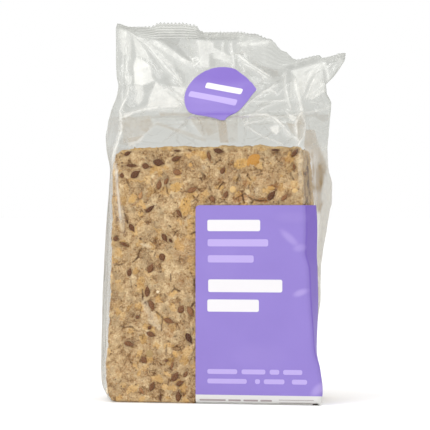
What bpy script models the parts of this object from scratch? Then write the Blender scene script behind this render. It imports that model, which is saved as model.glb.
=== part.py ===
"""A clear film bag of crispbread that stands on its base, with a wrapped label and a round sticker.

X runs to the right, Y away from the viewer and Z up. The origin is the middle of the base.
The bag is one closed solid: a flat base, straight walls round the slices, a folded shoulder,
and above it a thin flap that ends in a crimped seal.
"""
import math
from typing import NamedTuple

import bmesh
import bpy
from mathutils import Vector

MM = 0.001

# Driving dimensions
SLICE_HEIGHT = 118 * MM
STACK_DEPTH = 46 * MM
FILM_SLACK = 0.5 * MM
FLAP_START = 148.5 * MM
SEAL_START = 171 * MM
FLAP_END = 178 * MM
TOOTH_DEPTH = 0.9 * MM
CORNER_RADIUS = 2.2 * MM
BACK_INSET = 1.0 * MM
BACK_FOOT_INSET = 5.2 * MM
FOOT_INSET_TO = 16.5
BACK_INSET_FROM = 46

LABEL_HEIGHT = 91.5 * MM
LABEL_LEFT = -8.8 * MM
LABEL_LEFT_SHARE = 0.433
LABEL_SIDE_SHARE = 0.75
LABEL_UNDER = 21 * MM
PAPER_GAP = 0.35 * MM
PAPER_THICKNESS = 0.3 * MM
LABEL_RECESS = 1.0 * MM
RECESS_FADE_SHARE = 0.02
RECESS_FADE_LEVEL = 5
RECESS_PAST_LABEL = 4 * MM
RECESS_FADE_DEPTH = 2 * MM

STICKER_RADIUS = 16.7 * MM
STICKER_CENTRE = (-0.5 * MM, 142.4 * MM)
STICKER_CUT_FROM = (16.4 * MM, 2.9 * MM)
STICKER_CUT_TO = (4.6 * MM, -16.2 * MM)
STICKER_GAP = 0.6 * MM

RIDGE_LEVEL = 134.6
HALF_DEPTH = STACK_DEPTH / 2 + FILM_SLACK


class Section(NamedTuple):
    """The bag cut level: where its side folds and its corners lie, and where its front and back are."""

    level: float
    left_fold: float
    left_corner: float
    right_corner: float
    right_fold: float
    fold_depth: float
    front: float
    back: float


# Each section is in millimetres. The flap leans back over the ridge at its foot.
# Above the flap's start, a level is measured along the flap.
SECTIONS = [
    Section(0.0, -52.8, -47.4, 47.2, 45.2, -2.0, -21.6, 21.6),
    Section(0.7, -54.0, -48.6, 48.4, 45.8, -2.0, -23.0, 23.0),
    Section(2.4, -55.8, -50.2, 48.9, 46.2, -2.0, -23.5, 23.5),
    Section(7.0, -57.8, -51.2, 49.1, 46.4, -2.0, -23.5, 23.5),
    Section(16.5, -58.2, -51.4, 48.0, 45.4, -2.0, -23.5, 23.5),
    Section(24.0, -58.2, -51.1, 45.7, 44.4, -1.4, -23.5, 23.5),
    Section(36.0, -58.2, -50.7, 44.7, 44.9, 0.0, -23.5, 23.5),
    Section(50.0, -58.3, -50.2, 43.6, 46.1, 2.0, -23.5, 23.5),
    Section(62.0, -58.0, -49.8, 43.0, 46.3, 3.5, -23.5, 23.5),
    Section(70.0, -57.8, -49.6, 41.2, 47.1, 4.6, -23.5, 23.5),
    Section(80.0, -57.6, -49.3, 41.6, 48.8, 6.0, -23.5, 23.5),
    Section(101.0, -56.3, -49.3, 41.2, 51.2, 8.0, -23.5, 23.5),
    Section(109.0, -55.8, -48.5, 41.1, 49.5, 7.2, -23.5, 23.5),
    Section(117.5, -57.1, -47.4, 41.0, 49.1, 6.0, -23.5, 23.5),
    Section(125.5, -57.5, -45.4, 40.4, 49.8, 5.0, -21.6, 21.6),
    Section(130.5, -56.4, -44.9, 39.3, 50.4, 4.0, -19.5, 19.5),
    Section(RIDGE_LEVEL, -54.5, -46.3, 38.2, 51.0, 2.0, -10.0, 10.5),
    Section(139.5, -53.0, -46.0, 37.0, 51.3, 2.5, -6.8, 9.2),
    Section(145.0, -51.4, -45.4, 35.6, 49.1, 3.5, -2.8, 9.3),
    Section(148.5, -51.2, -45.1, 34.6, 48.9, 4.8, -0.4, 9.7),
    Section(152.5, -52.2, -45.2, 33.8, 50.4, 5.6, 1.6, 9.9),
    Section(157.0, -52.7, -45.4, 33.2, 52.6, 6.4, 3.6, 10.0),
    Section(164.0, -52.9, -46.5, 35.0, 55.0, 7.6, 6.0, 9.4),
    Section(171.0, -53.1, -48.0, 40.0, 57.2, 8.0, 7.5, 8.5),
    Section(178.0, -52.5, -48.0, 40.0, 57.6, 8.0, 7.5, 8.5),
]

# The seal's lower line, as places across the bag and their heights in millimetres
SEAL_LOWER_LINE = [
    (-52, 176.6), (-48, 175.2), (-40, 172.4), (-33, 171.2), (-12, 171.0), (5, 170.8),
    (9.6, 167.4), (14.4, 161.6), (19.2, 157.7), (24, 155.9), (31, 155.8), (44, 159.2), (58, 160.2),
]
# The seal's cut edge, in the same way
SEAL_UPPER_LINE = [
    (-52.4, 179.1), (-46.3, 177.5), (-36.5, 177.5), (-32, 179.2), (-22, 179.0), (-14.8, 178.0),
    (-11.6, 174.9), (4.3, 174.7), (13.5, 173.2), (21.5, 170.5), (28.4, 164.5), (33.4, 160.9),
    (45, 162.9), (45.8, 161.6), (57.3, 163.4),
]
# How far the seal's lower line and its cut edge wave to the front and the back, in the same way
SEAL_LOWER_WAVE = [
    (-52, 0.0), (-40, 1.4), (-26, -0.6), (-13, -2.0), (-8, 0.8), (5, 0.4),
    (14, -3.0), (24, -4.6), (32, 0.6), (44, 1.8), (58, -1.0),
]
SEAL_UPPER_WAVE = [
    (-52, 0.2), (-40, 2.4), (-26, 3.0), (-14, 2.6), (-10, 6.4), (4, 6.0),
    (10, 1.6), (20, -1.6), (29, -1.0), (34, 3.4), (44, 4.2), (58, -0.6),
]


class Fold(NamedTuple):
    """A straight fold of the flap: from one place to another, how far it stands out and how wide it is."""

    start: tuple
    end: tuple
    depth: float
    half_width: float


# Folds of the flap in millimetres, as places across the bag and heights
FLAP_FOLDS = [
    Fold((-46, 174), (-28, 157), -1.6, 6),
    Fold((-33, 170), (-16, 159), 1.8, 6),
    Fold((-47, 160), (-38, 141), 1.8, 7),
    Fold((-9, 171), (-9, 160), -1.4, 5),
    Fold((5, 165), (22, 152), 2.0, 6),
    Fold((20, 140), (31, 140), -1.2, 5),
    Fold((45, 158), (35, 141), -2.2, 6),
    Fold((45, 158), (40, 142), 1.6, 5),
    Fold((47, 147), (38, 141), -1.2, 5),
    Fold((47, 158), (50, 149), 1.0, 4),
]
FOLDS_FADE_FROM = 134.6
FOLDS_FADE_TO = 140

WALL_LEVELS = [0, 0.7, 2.4, 5, 10, 16.5, 24, 33, 42, 51, 60, 69, 77, 84.5, 91.5, 98, 105, 111, 115.5]
SHOULDER_LEVELS = [119, 122.5, 125.5, 128, 130.5, 132.2, 133.5, RIDGE_LEVEL]
FLAP_LEVELS = [136.5, 138.5, 140.5, 142.5, 145, 148.5, 151, 153.5, 156, 158.5, 161, 163.5, 167]
SEAL_LEVELS = [171, 172.8, 174.6, 176.4, 178]
SEAL_START_REFINEMENT = 2
SEAL_REFINEMENT = 4
BASE_ROWS = 6

SIDE_SHARES = [0.0, 0.25, 0.5, 0.75, 0.92]
COLUMNS_LEFT_OF_LABEL = 14
COLUMNS_ALONG_LABEL = 18
CORNER_SHARE = 0.022
MOST_ROUNDED_SHARE = 0.3
UNDER_SHARES = [0.0, 0.25, 0.5, 0.75, 1.0]
STICKER_ROWS = 12
STICKER_COLUMNS = 12
STICKER_END_SHARE = 0.985
STICKER_SPINE_PLACE = 1.5
STICKER_LOWEST_LEVEL = 126
STICKER_HIGHEST_LEVEL = 160
ARC_STEP = 0.25
NORMAL_LEVEL_STEP = 0.4
NORMAL_PLACE_STEP = 0.01
PLACE_TOLERANCE = 1e-6
SHARP_ANGLE = math.radians(35)


def blend(a, b, share):
    return a + (b - a) * share


def clamp01(value):
    return max(0.0, min(1.0, value))


def along(line, place, eased=True):
    """The value of a line of (place, value) points at a place, eased or straight between its points."""
    if place <= line[0][0]:
        return line[0][1]
    for (left, low), (right, high) in zip(line, line[1:]):
        if place <= right:
            share = (place - left) / (right - left)
            if eased:
                share = share * share * (3 - 2 * share)
            return blend(low, high, share)
    return line[-1][1]


def spline(values, knots, at):
    """A smooth curve through values at rising knots, with no overshoot between equal neighbours."""
    last = len(knots) - 2
    i = next((k for k in range(last + 1) if at <= knots[k + 1]), last)
    step = knots[i + 1] - knots[i]
    share = clamp01((at - knots[i]) / step)

    def slope(k):
        if k == 0 or k == len(knots) - 1:
            return 0.0
        before = (values[k] - values[k - 1]) / (knots[k] - knots[k - 1])
        after = (values[k + 1] - values[k]) / (knots[k + 1] - knots[k])
        if before * after <= 0:
            return 0.0
        return 2 * before * after / (before + after)

    s2 = share * share
    s3 = s2 * share
    return (
        (2 * s3 - 3 * s2 + 1) * values[i]
        + (s3 - 2 * s2 + share) * step * slope(i)
        + (3 * s2 - 2 * s3) * values[i + 1]
        + (s3 - s2) * step * slope(i + 1)
    )


def section_at(level):
    """The bag's section at a level in millimetres, with its sizes in metres."""
    knots = [section.level for section in SECTIONS]
    fields = zip(*SECTIONS)
    return Section(*(spline(values, knots, level) * MM for values in fields))


def distance_to_fold(fold, x, z):
    start = Vector(fold.start)
    run = Vector(fold.end) - start
    place = Vector((x, z)) - start
    share = clamp01(place.dot(run) / run.length_squared)
    return (place - run * share).length


def flap_wave(level, x, z):
    """How far folds push both faces of the flap and the seal to the back, at a place in metres."""
    x_mm, z_mm = x / MM, z / MM
    if level > SEAL_START / MM:
        share = (level - SEAL_START / MM) / ((FLAP_END - SEAL_START) / MM)
        return blend(along(SEAL_LOWER_WAVE, x_mm), along(SEAL_UPPER_WAVE, x_mm), share) * MM
    folds = 0.0
    for fold in FLAP_FOLDS:
        near = clamp01(1 - distance_to_fold(fold, x_mm, z_mm) / fold.half_width)
        folds += fold.depth * near
    strength = clamp01((level - FOLDS_FADE_FROM) / (FOLDS_FADE_TO - FOLDS_FADE_FROM))
    to_seal = clamp01((level - FLAP_START / MM) / ((SEAL_START - FLAP_START) / MM))
    wave = along(SEAL_LOWER_WAVE, x_mm) * to_seal
    return (folds * strength * (1 - to_seal) + wave) * MM


def height_of(level, x):
    """The height in metres of a level in millimetres, which follows the seal's slope on the flap."""
    if level <= FLAP_START / MM:
        return level * MM
    lower = along(SEAL_LOWER_LINE, x / MM) * MM
    if level <= SEAL_START / MM:
        share = (level * MM - FLAP_START) / (SEAL_START - FLAP_START)
        return blend(FLAP_START, lower, share)
    share = (level * MM - SEAL_START) / (FLAP_END - SEAL_START)
    return blend(lower, along(SEAL_UPPER_LINE, x / MM) * MM, share)


def rounded_path(corners, place, radius):
    """A point of the path through the corners, which are rounded. The place counts whole panels."""
    panel = min(int(place), len(corners) - 2)
    share = place - panel
    here, there = corners[panel], corners[panel + 1]
    length = (there - here).length
    point = here.lerp(there, share)
    for corner, distance in ((panel, share * length), (panel + 1, (1 - share) * length)):
        if corner == 0 or corner == len(corners) - 1:
            continue
        before, turn, after = corners[corner - 1], corners[corner], corners[corner + 1]
        shorter = min((turn - before).length, (after - turn).length)
        reach = min(radius, MOST_ROUNDED_SHARE * shorter)
        if distance >= reach:
            continue
        start = turn + (before - turn).normalized() * reach
        end = turn + (after - turn).normalized() * reach
        along_arc = 0.5 + 0.5 * distance / reach * (1 if corner == panel else -1)
        return start.lerp(turn, along_arc).lerp(turn.lerp(end, along_arc), along_arc)
    return point


def label_share(place):
    """One where the label wraps under the base, nought to its left and on the bag's sides."""
    from_left = (place - 1 - LABEL_LEFT_SHARE) / RECESS_FADE_SHARE + 1
    from_right = (2 - place) / RECESS_FADE_SHARE + 1
    return clamp01(from_left) * clamp01(from_right)


def upright_place(place, left, right):
    """The even place on a front or back panel for a place that keeps the label's left edge upright."""
    share = place - 1
    if not 0 < share < 1:
        return place
    label_edge = (LABEL_LEFT - left) / (right - left)
    if share < LABEL_LEFT_SHARE:
        return 1 + label_edge * share / LABEL_LEFT_SHARE
    return 1 + blend(label_edge, 1.0, (share - LABEL_LEFT_SHARE) / (1 - LABEL_LEFT_SHARE))


def place_across(x, section):
    """The place on the front panel of a point across the bag."""
    if x < LABEL_LEFT:
        return 1 + LABEL_LEFT_SHARE * (x - section.left_corner) / (LABEL_LEFT - section.left_corner)
    return 1 + blend(LABEL_LEFT_SHARE, 1.0, (x - LABEL_LEFT) / (section.right_corner - LABEL_LEFT))


def back_insets(level):
    """How much nearer to the middle the back's left and right corners are than the front's."""
    thin = clamp01((level * MM - SLICE_HEIGHT) / (FLAP_START - SLICE_HEIGHT))
    from_foot = clamp01((level - FOOT_INSET_TO) / (BACK_INSET_FROM - FOOT_INSET_TO))
    return BACK_INSET * (1 - thin), blend(BACK_FOOT_INSET, BACK_INSET, from_foot) * (1 - thin)


def film_point(level, place, side):
    """A point of the bag's surface. Side is -1 on the front half and 1 on the back half.

    The place runs from 0 at the left fold, over 1 and 2 at the corners, to 3 at the right fold.
    """
    section = section_at(level)
    left_inset, right_inset = back_insets(level) if side > 0 else (0.0, 0.0)
    depth = section.front if side < 0 else section.back
    corners = [
        Vector((section.left_fold, section.fold_depth)),
        Vector((section.left_corner + left_inset, depth)),
        Vector((section.right_corner - right_inset, depth)),
        Vector((section.right_fold, section.fold_depth)),
    ]
    flat = rounded_path(corners, upright_place(place, corners[1].x, corners[2].x), CORNER_RADIUS)
    z = height_of(level, flat.x)
    if side < 0:
        z += LABEL_RECESS * label_share(place) * clamp01(1 - level / RECESS_FADE_LEVEL)
    return Vector((flat.x, flat.y + flap_wave(level, flat.x, z), z))


def places_across(refined=1):
    """The places along half a section, with every step cut into refined smaller ones."""
    left = [LABEL_LEFT_SHARE * i / COLUMNS_LEFT_OF_LABEL for i in range(1, COLUMNS_LEFT_OF_LABEL)]
    right = [
        blend(LABEL_LEFT_SHARE, 1.0, i / COLUMNS_ALONG_LABEL)
        for i in range(COLUMNS_ALONG_LABEL)
    ]
    front = [0.0, CORNER_SHARE] + left + right + [1.0 - CORNER_SHARE]
    places = SIDE_SHARES + [1 + share for share in front]
    places += [3 - share for share in reversed(SIDE_SHARES + [1.0])]
    fine = []
    for here, there in zip(places, places[1:]):
        fine += [blend(here, there, step / refined) for step in range(refined)]
    return fine + [places[-1]]


def half_ring(mesh, level, side, refined, ends=None):
    """The vertices of half a section, left to right. The back half shares the front half's ends."""
    places = places_across(refined)
    ring = []
    for index, place in enumerate(places):
        if ends and index in (0, len(places) - 1):
            ring.append(ends[0] if index == 0 else ends[-1])
            continue
        point = film_point(level, place, side)
        if level * MM == FLAP_END and index % 2:
            point.z -= TOOTH_DEPTH
        ring.append(mesh.verts.new(point))
    return ring


def stitch(mesh, lower, upper, side):
    """Joins two half sections. The upper one has as many steps as the lower one, or twice as many."""
    ratio = (len(upper) - 1) // (len(lower) - 1)
    for i in range(len(lower) - 1):
        above = upper[i * ratio : i * ratio + ratio + 1]
        corners = [lower[i], lower[i + 1]] + list(reversed(above))
        mesh.faces.new(corners if side < 0 else list(reversed(corners)))


def fill_between(mesh, front, back, facing_up):
    for i in range(len(front) - 1):
        corners = [front[i], front[i + 1], back[i + 1], back[i]]
        unique = list(dict.fromkeys(corners))
        mesh.faces.new(unique if facing_up else list(reversed(unique)))


def close_base(mesh, front, back):
    """Fills the base with rows from the front to the back, raised where the label lies under it."""
    places = places_across()
    rows = [front]
    for row in range(1, BASE_ROWS):
        share = row / BASE_ROWS
        line = [front[0]]
        for index in range(1, len(front) - 1):
            point = front[index].co.lerp(back[index].co, share)
            before_end = LABEL_UNDER + RECESS_PAST_LABEL - HALF_DEPTH - point.y
            covered = clamp01(before_end / RECESS_FADE_DEPTH)
            point.z = LABEL_RECESS * label_share(places[index]) * covered
            line.append(mesh.verts.new(point))
        rows.append(line + [front[-1]])
    rows.append(back)
    for near, far in zip(rows, rows[1:]):
        fill_between(mesh, near, far, facing_up=False)


def finish_mesh(mesh, name, material):
    bmesh.ops.triangulate(mesh, faces=mesh.faces)
    data = bpy.data.meshes.new(name)
    mesh.to_mesh(data)
    mesh.free()
    data.materials.append(material)
    data.shade_smooth()
    data.set_sharp_from_angle(angle=SHARP_ANGLE)
    part = bpy.data.objects.new(name, data)
    bpy.context.scene.collection.objects.link(part)
    return part


def make_bag(material):
    mesh = bmesh.new()
    steps = [(level, 1) for level in WALL_LEVELS + SHOULDER_LEVELS + FLAP_LEVELS]
    steps += [(SEAL_LEVELS[0], SEAL_START_REFINEMENT)]
    steps += [(level, SEAL_REFINEMENT) for level in SEAL_LEVELS[1:]]
    fronts, backs = [], []
    for level, refined in steps:
        front = half_ring(mesh, level, -1, refined)
        fronts.append(front)
        backs.append(half_ring(mesh, level, 1, refined, ends=front))
    for lower, upper in zip(fronts, fronts[1:]):
        stitch(mesh, lower, upper, -1)
    for lower, upper in zip(backs, backs[1:]):
        stitch(mesh, lower, upper, 1)
    close_base(mesh, fronts[0], backs[0])
    fill_between(mesh, fronts[-1], backs[-1], facing_up=True)
    return finish_mesh(mesh, "bag", material)


def surface_normal(level, place, side=-1):
    """The direction out of the film, from two short steps along it."""
    above = film_point(level + NORMAL_LEVEL_STEP, place, side)
    below = film_point(max(level - NORMAL_LEVEL_STEP, 0), place, side)
    right = film_point(level, place + NORMAL_PLACE_STEP, side)
    left = film_point(level, place - NORMAL_PLACE_STEP, side)
    return (right - left).cross(above - below).normalized()


def thicken(mesh, cells, points, normals, gap):
    """Makes a thin closed solid from a patch of cells, standing off the surface by a gap."""
    inner = {key: mesh.verts.new(points[key] + normals[key] * gap) for key in points}
    outer = {
        key: mesh.verts.new(points[key] + normals[key] * (gap + PAPER_THICKNESS)) for key in points
    }
    edges = {}
    for cell in cells:
        mesh.faces.new([outer[key] for key in cell])
        mesh.faces.new([inner[key] for key in reversed(cell)])
        for here, there in zip(cell, cell[1:] + cell[:1]):
            edges[here, there] = (there, here) not in edges
            if (there, here) in edges:
                edges[there, here] = edges[here, there] = False
    for (here, there), rim in edges.items():
        if rim:
            mesh.faces.new([outer[there], outer[here], inner[here], inner[there]])


def make_label(material):
    """The printed label: a sheet on the front that wraps round the right side and under the base."""
    mesh = bmesh.new()
    first = 1 + LABEL_LEFT_SHARE - PLACE_TOLERANCE
    last = 2 + LABEL_SIDE_SHARE + PLACE_TOLERANCE
    places = [place for place in places_across() if first <= place <= last]
    levels = [level for level in WALL_LEVELS if 0 < level <= LABEL_HEIGHT / MM]
    points, normals, cells = {}, {}, []
    for column, place in enumerate(places):
        for row, level in enumerate(levels):
            points[column, row] = film_point(level, place, -1)
            normals[column, row] = surface_normal(level, place)
    for column in range(len(places) - 1):
        for row in range(len(levels) - 1):
            cells.append([(column, row), (column + 1, row), (column + 1, row + 1), (column, row + 1)])
    front_end = 2 - CORNER_SHARE + PLACE_TOLERANCE
    front_columns = [column for column, place in enumerate(places) if place <= front_end]
    for column in front_columns:
        edge, opposite = film_point(0, places[column], -1), film_point(0, places[column], 1)
        slant = (opposite.x - edge.x) / (opposite.y - edge.y)
        for row, share in enumerate(UNDER_SHARES):
            key, under = (column, -1 - row), share * LABEL_UNDER
            points[key] = Vector((edge.x + slant * under, edge.y + under, LABEL_RECESS))
            normals[key] = Vector((0, 0, -1))
    for column in front_columns[:-1]:
        for row in range(-len(UNDER_SHARES), 0):
            cells.append([(column, row), (column + 1, row), (column + 1, row + 1), (column, row + 1)])
    thicken(mesh, cells, points, normals, PAPER_GAP)
    return finish_mesh(mesh, "label", material)


def arc_levels(place, low, high):
    """Pairs of a length along the film and its level, from a low level to a high one."""
    pairs = [(0.0, low)]
    level = low
    while level < high:
        here = film_point(level, place, -1)
        level += ARC_STEP
        pairs.append((pairs[-1][0] + (film_point(level, place, -1) - here).length, level))
    return pairs


def sticker_ends(up):
    """Where a row of the sticker ends on the left and right: a circle with one side folded off."""
    half_chord = math.sqrt(max(STICKER_RADIUS**2 - up**2, 0))
    (high_x, high), (low_x, low) = STICKER_CUT_FROM, STICKER_CUT_TO
    if up >= high:
        return -half_chord, half_chord
    return -half_chord, min(half_chord, blend(low_x, high_x, (up - low) / (high - low)))


def make_sticker(material):
    """The round sticker, which follows the flap, bends at the ridge and ends at a fold."""
    mesh = bmesh.new()
    centre_x, centre_z = STICKER_CENTRE
    arcs = arc_levels(STICKER_SPINE_PLACE, STICKER_LOWEST_LEVEL, STICKER_HIGHEST_LEVEL)
    level_arcs = [(level, arc) for arc, level in arcs]
    centre_arc = along(level_arcs, centre_z / MM, eased=False)
    ridge = along(level_arcs, RIDGE_LEVEL, eased=False) - centre_arc
    ups = [-STICKER_RADIUS * math.cos(math.pi * row / STICKER_ROWS) for row in range(STICKER_ROWS + 1)]
    ups = sorted([up for up in ups[1:-1] if abs(up - ridge) > MM] + [ridge])
    end = STICKER_END_SHARE * STICKER_RADIUS
    ups = [-end] + ups + [end]
    points, normals, cells = {}, {}, []
    for row, up in enumerate(ups):
        level = along(arcs, centre_arc + up, eased=False)
        here = section_at(level)
        left, right = sticker_ends(up)
        for column in range(STICKER_COLUMNS + 1):
            across = blend(left, right, column / STICKER_COLUMNS)
            place = place_across(centre_x + across, here)
            points[column, row] = film_point(level, place, -1)
            normals[column, row] = surface_normal(level, place)
    for column in range(STICKER_COLUMNS):
        for row in range(len(ups) - 1):
            cells.append([(column, row), (column + 1, row), (column + 1, row + 1), (column, row + 1)])
    thicken(mesh, cells, points, normals, STICKER_GAP)
    return finish_mesh(mesh, "sticker", material)


def make_material(name, colour, roughness, alpha=1.0):
    material = bpy.data.materials.new(name)
    material.use_nodes = True
    shader = material.node_tree.nodes["Principled BSDF"]
    shader.inputs["Base Color"].default_value = (*colour, 1.0)
    shader.inputs["Roughness"].default_value = roughness
    shader.inputs["Metallic"].default_value = 0.0
    shader.inputs["Alpha"].default_value = alpha
    return material


def clear_scene():
    for old in list(bpy.data.objects):
        bpy.data.objects.remove(old, do_unlink=True)


def main():
    clear_scene()
    make_bag(make_material("clear_film", (0.62, 0.60, 0.53), 0.15))
    make_label(make_material("label_paper", (0.35, 0.26, 0.70), 0.35))
    make_sticker(make_material("sticker_paper", (0.38, 0.28, 0.75), 0.35))


main()
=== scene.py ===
"""The looks of a clear film bag of seeded crispbread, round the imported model.

The bag's solid is replaced by its crinkled film and by the eight slices inside it. The label and
the sticker are replaced by printed sheets with plain bars. Lengths are in millimetres up to the
moment a mesh is made. X runs to the right, Y away from the viewer and Z up.
"""
import itertools
import math

import bpy
import mathutils
import numpy as np
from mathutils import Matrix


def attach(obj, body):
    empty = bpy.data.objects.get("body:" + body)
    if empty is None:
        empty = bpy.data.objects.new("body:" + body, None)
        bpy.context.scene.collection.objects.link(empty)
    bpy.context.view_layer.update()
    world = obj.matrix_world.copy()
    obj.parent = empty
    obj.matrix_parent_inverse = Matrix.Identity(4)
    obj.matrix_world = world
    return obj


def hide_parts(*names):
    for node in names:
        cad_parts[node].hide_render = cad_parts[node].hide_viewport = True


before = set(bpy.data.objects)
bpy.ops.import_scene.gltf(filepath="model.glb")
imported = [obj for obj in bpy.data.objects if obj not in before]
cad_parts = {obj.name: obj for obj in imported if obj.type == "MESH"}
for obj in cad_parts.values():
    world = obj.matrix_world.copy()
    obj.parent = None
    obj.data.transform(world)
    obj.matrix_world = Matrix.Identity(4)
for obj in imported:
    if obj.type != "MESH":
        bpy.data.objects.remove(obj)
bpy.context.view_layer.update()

MM = 0.001

# The camera, which stands level and a little to the right
CAMERA_PLACE = (137.3, -889.5, 87.0)
CAMERA_TURN = math.radians(9)
CAMERA_DISTANCE = 900.0
PIXELS_PER_SLOPE = 1906.0
IMAGE_SIDE = 430.0
SENSOR_WIDTH = 36.0
AXIS_PIXEL = (222.5, 215.0)

# The bag: level, left fold, left corner, right corner, right fold, fold depth, front, back
SECTIONS = np.array([
    (0.0, -52.8, -47.4, 47.2, 45.2, -2.0, -21.6, 21.6),
    (0.7, -54.0, -48.6, 48.4, 45.8, -2.0, -23.0, 23.0),
    (2.4, -55.8, -50.2, 48.9, 46.2, -2.0, -23.5, 23.5),
    (7.0, -57.8, -51.2, 49.1, 46.4, -2.0, -23.5, 23.5),
    (16.5, -58.2, -51.4, 48.0, 45.4, -2.0, -23.5, 23.5),
    (24.0, -58.2, -51.1, 45.7, 44.4, -1.4, -23.5, 23.5),
    (36.0, -58.2, -50.7, 44.7, 44.9, 0.0, -23.5, 23.5),
    (50.0, -58.3, -50.2, 43.6, 46.1, 2.0, -23.5, 23.5),
    (62.0, -58.0, -49.8, 43.0, 46.3, 3.5, -23.5, 23.5),
    (70.0, -57.8, -49.6, 41.2, 47.1, 4.6, -23.5, 23.5),
    (80.0, -57.6, -49.3, 41.6, 48.8, 6.0, -23.5, 23.5),
    (101.0, -56.3, -49.3, 41.2, 51.2, 8.0, -23.5, 23.5),
    (109.0, -55.8, -48.5, 41.1, 49.5, 7.2, -23.5, 23.5),
    (117.5, -57.1, -47.4, 41.0, 49.1, 6.0, -23.5, 23.5),
    (125.5, -57.5, -45.4, 40.4, 49.8, 5.0, -21.6, 21.6),
    (130.5, -56.4, -44.9, 39.3, 50.4, 4.0, -19.5, 19.5),
    (134.6, -54.5, -46.3, 38.2, 51.0, 2.0, -10.0, 10.5),
    (139.5, -53.0, -46.0, 37.0, 51.3, 2.5, -6.8, 9.2),
    (145.0, -51.4, -45.4, 35.6, 49.1, 3.5, -2.8, 9.3),
    (148.5, -51.2, -45.1, 34.6, 48.9, 4.8, -0.4, 9.7),
    (152.5, -52.2, -45.2, 33.8, 50.4, 5.6, 1.6, 9.9),
    (157.0, -52.7, -45.4, 33.2, 52.6, 6.4, 3.6, 10.0),
    (164.0, -52.9, -46.5, 35.0, 55.0, 7.6, 6.0, 9.4),
    (171.0, -53.1, -48.0, 40.0, 57.2, 8.0, 7.5, 8.5),
    (178.0, -52.5, -48.0, 40.0, 57.6, 8.0, 7.5, 8.5),
])
# The places of a section's values once its level is taken off
LEFT_FOLD, LEFT_CORNER, RIGHT_CORNER, RIGHT_FOLD, FOLD_DEPTH, FRONT, BACK = range(7)
SLICE_HEIGHT = 118.0
FLAP_START = 148.5
SEAL_START = 171.0
FLAP_END = 178.0
CORNER_RADIUS = 1.5
# How much nearer to the middle the back's corners are, which is more at the foot on the right
BACK_INSET = 1.0
BACK_FOOT_INSET = 5.2
FOOT_INSET_TO = 16.5
BACK_INSET_FROM = 46.0
LABEL_LEFT = -8.8
LABEL_LEFT_SHARE = 0.433
# The base is raised under the label by this much, which fades out at the sides and up the walls
LABEL_RECESS = 1.0
RECESS_FADE_SHARE = 0.02
RECESS_FADE_LEVEL = 5.0
RECESS_END_DEPTH = 1.5
RECESS_FADE_DEPTH = 2.0

# The seal's lower line and its cut edge as places across the bag and heights, and how far they wave
SEAL_LOWER_LINE = [
    (-52, 176.6), (-48, 175.2), (-40, 172.4), (-33, 171.2), (-12, 171.0), (5, 170.8),
    (9.6, 167.4), (14.4, 161.6), (19.2, 157.7), (24, 155.9), (31, 155.8), (44, 159.2), (58, 160.2),
]
SEAL_UPPER_LINE = [
    (-52.4, 179.1), (-46.3, 177.5), (-36.5, 177.5), (-32, 179.2), (-22, 179.0), (-14.8, 178.0),
    (-11.6, 174.9), (4.3, 174.7), (13.5, 173.2), (21.5, 170.5), (28.4, 164.5), (33.4, 160.9),
    (45, 162.9), (45.8, 161.6), (57.3, 163.4),
]
SEAL_LOWER_WAVE = [
    (-52, 0.0), (-40, 1.4), (-26, -0.6), (-13, -2.0), (-8, 0.8), (5, 0.4),
    (14, -3.0), (24, -4.6), (32, 0.6), (44, 1.8), (58, -1.0),
]
SEAL_UPPER_WAVE = [
    (-52, 0.2), (-40, 2.4), (-26, 3.0), (-14, 2.6), (-10, 6.4), (4, 6.0),
    (10, 1.6), (20, -1.6), (29, -1.0), (34, 3.4), (44, 4.2), (58, -0.6),
]
# Folds of both faces of the flap: start, end, depth and half width
FLAP_FOLDS = [
    ((-46, 174), (-28, 157), -1.6, 6), ((-33, 170), (-16, 159), 1.8, 6), ((-47, 160), (-38, 141), 1.8, 7),
    ((-9, 171), (-9, 160), -1.4, 5), ((5, 165), (22, 152), 2, 6), ((20, 140), (31, 140), -1.2, 5),
    ((45, 158), (35, 141), -2.2, 6), ((45, 158), (40, 142), 1.6, 5), ((47, 147), (38, 141), -1.2, 5),
    ((47, 158), (50, 149), 1, 4),
]
FOLDS_FADE_FROM = 134.6
FOLDS_FADE_TO = 140.0


# Small tools

def clamp01(value):
    return np.clip(value, 0.0, 1.0)


def blend(a, b, share):
    return a + (b - a) * share


def part_way(low, high, value):
    """Nought below low and one above high, straight between."""
    return clamp01((value - low) / (high - low))


def ease(low, high, value):
    """Nought below low and one above high, with a soft step between."""
    share = part_way(low, high, value)
    return share * share * (3 - 2 * share)


def along(line, place):
    """The values of a line of (place, value) points at places, eased between its points."""
    places, values = np.array(line, float).T
    i = np.clip(np.searchsorted(places, place) - 1, 0, len(places) - 2)
    share = clamp01((place - places[i]) / (places[i + 1] - places[i]))
    return blend(values[i], values[i + 1], share * share * (3 - 2 * share))


def spline_rows(table, at):
    """The table's columns at rising knots, which are its first column, with no overshoot."""
    knots, values = table[:, 0], table[:, 1:]
    rises = np.diff(values, axis=0) / np.diff(knots)[:, None]
    slopes = np.zeros_like(values)
    before, after = rises[:-1], rises[1:]
    same_way = before * after > 0
    slopes[1:-1] = np.where(same_way, 2 * before * after / np.where(same_way, before + after, 1), 0)
    i = np.clip(np.searchsorted(knots, at) - 1, 0, len(knots) - 2)
    step = (knots[i + 1] - knots[i])[:, None]
    s = clamp01((at - knots[i])[:, None] / step)
    s2, s3 = s * s, s * s * s
    return (
        (2 * s3 - 3 * s2 + 1) * values[i] + (s3 - 2 * s2 + s) * step * slopes[i]
        + (3 * s2 - 2 * s3) * values[i + 1] + (s3 - s2) * step * slopes[i + 1]
    )


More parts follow.
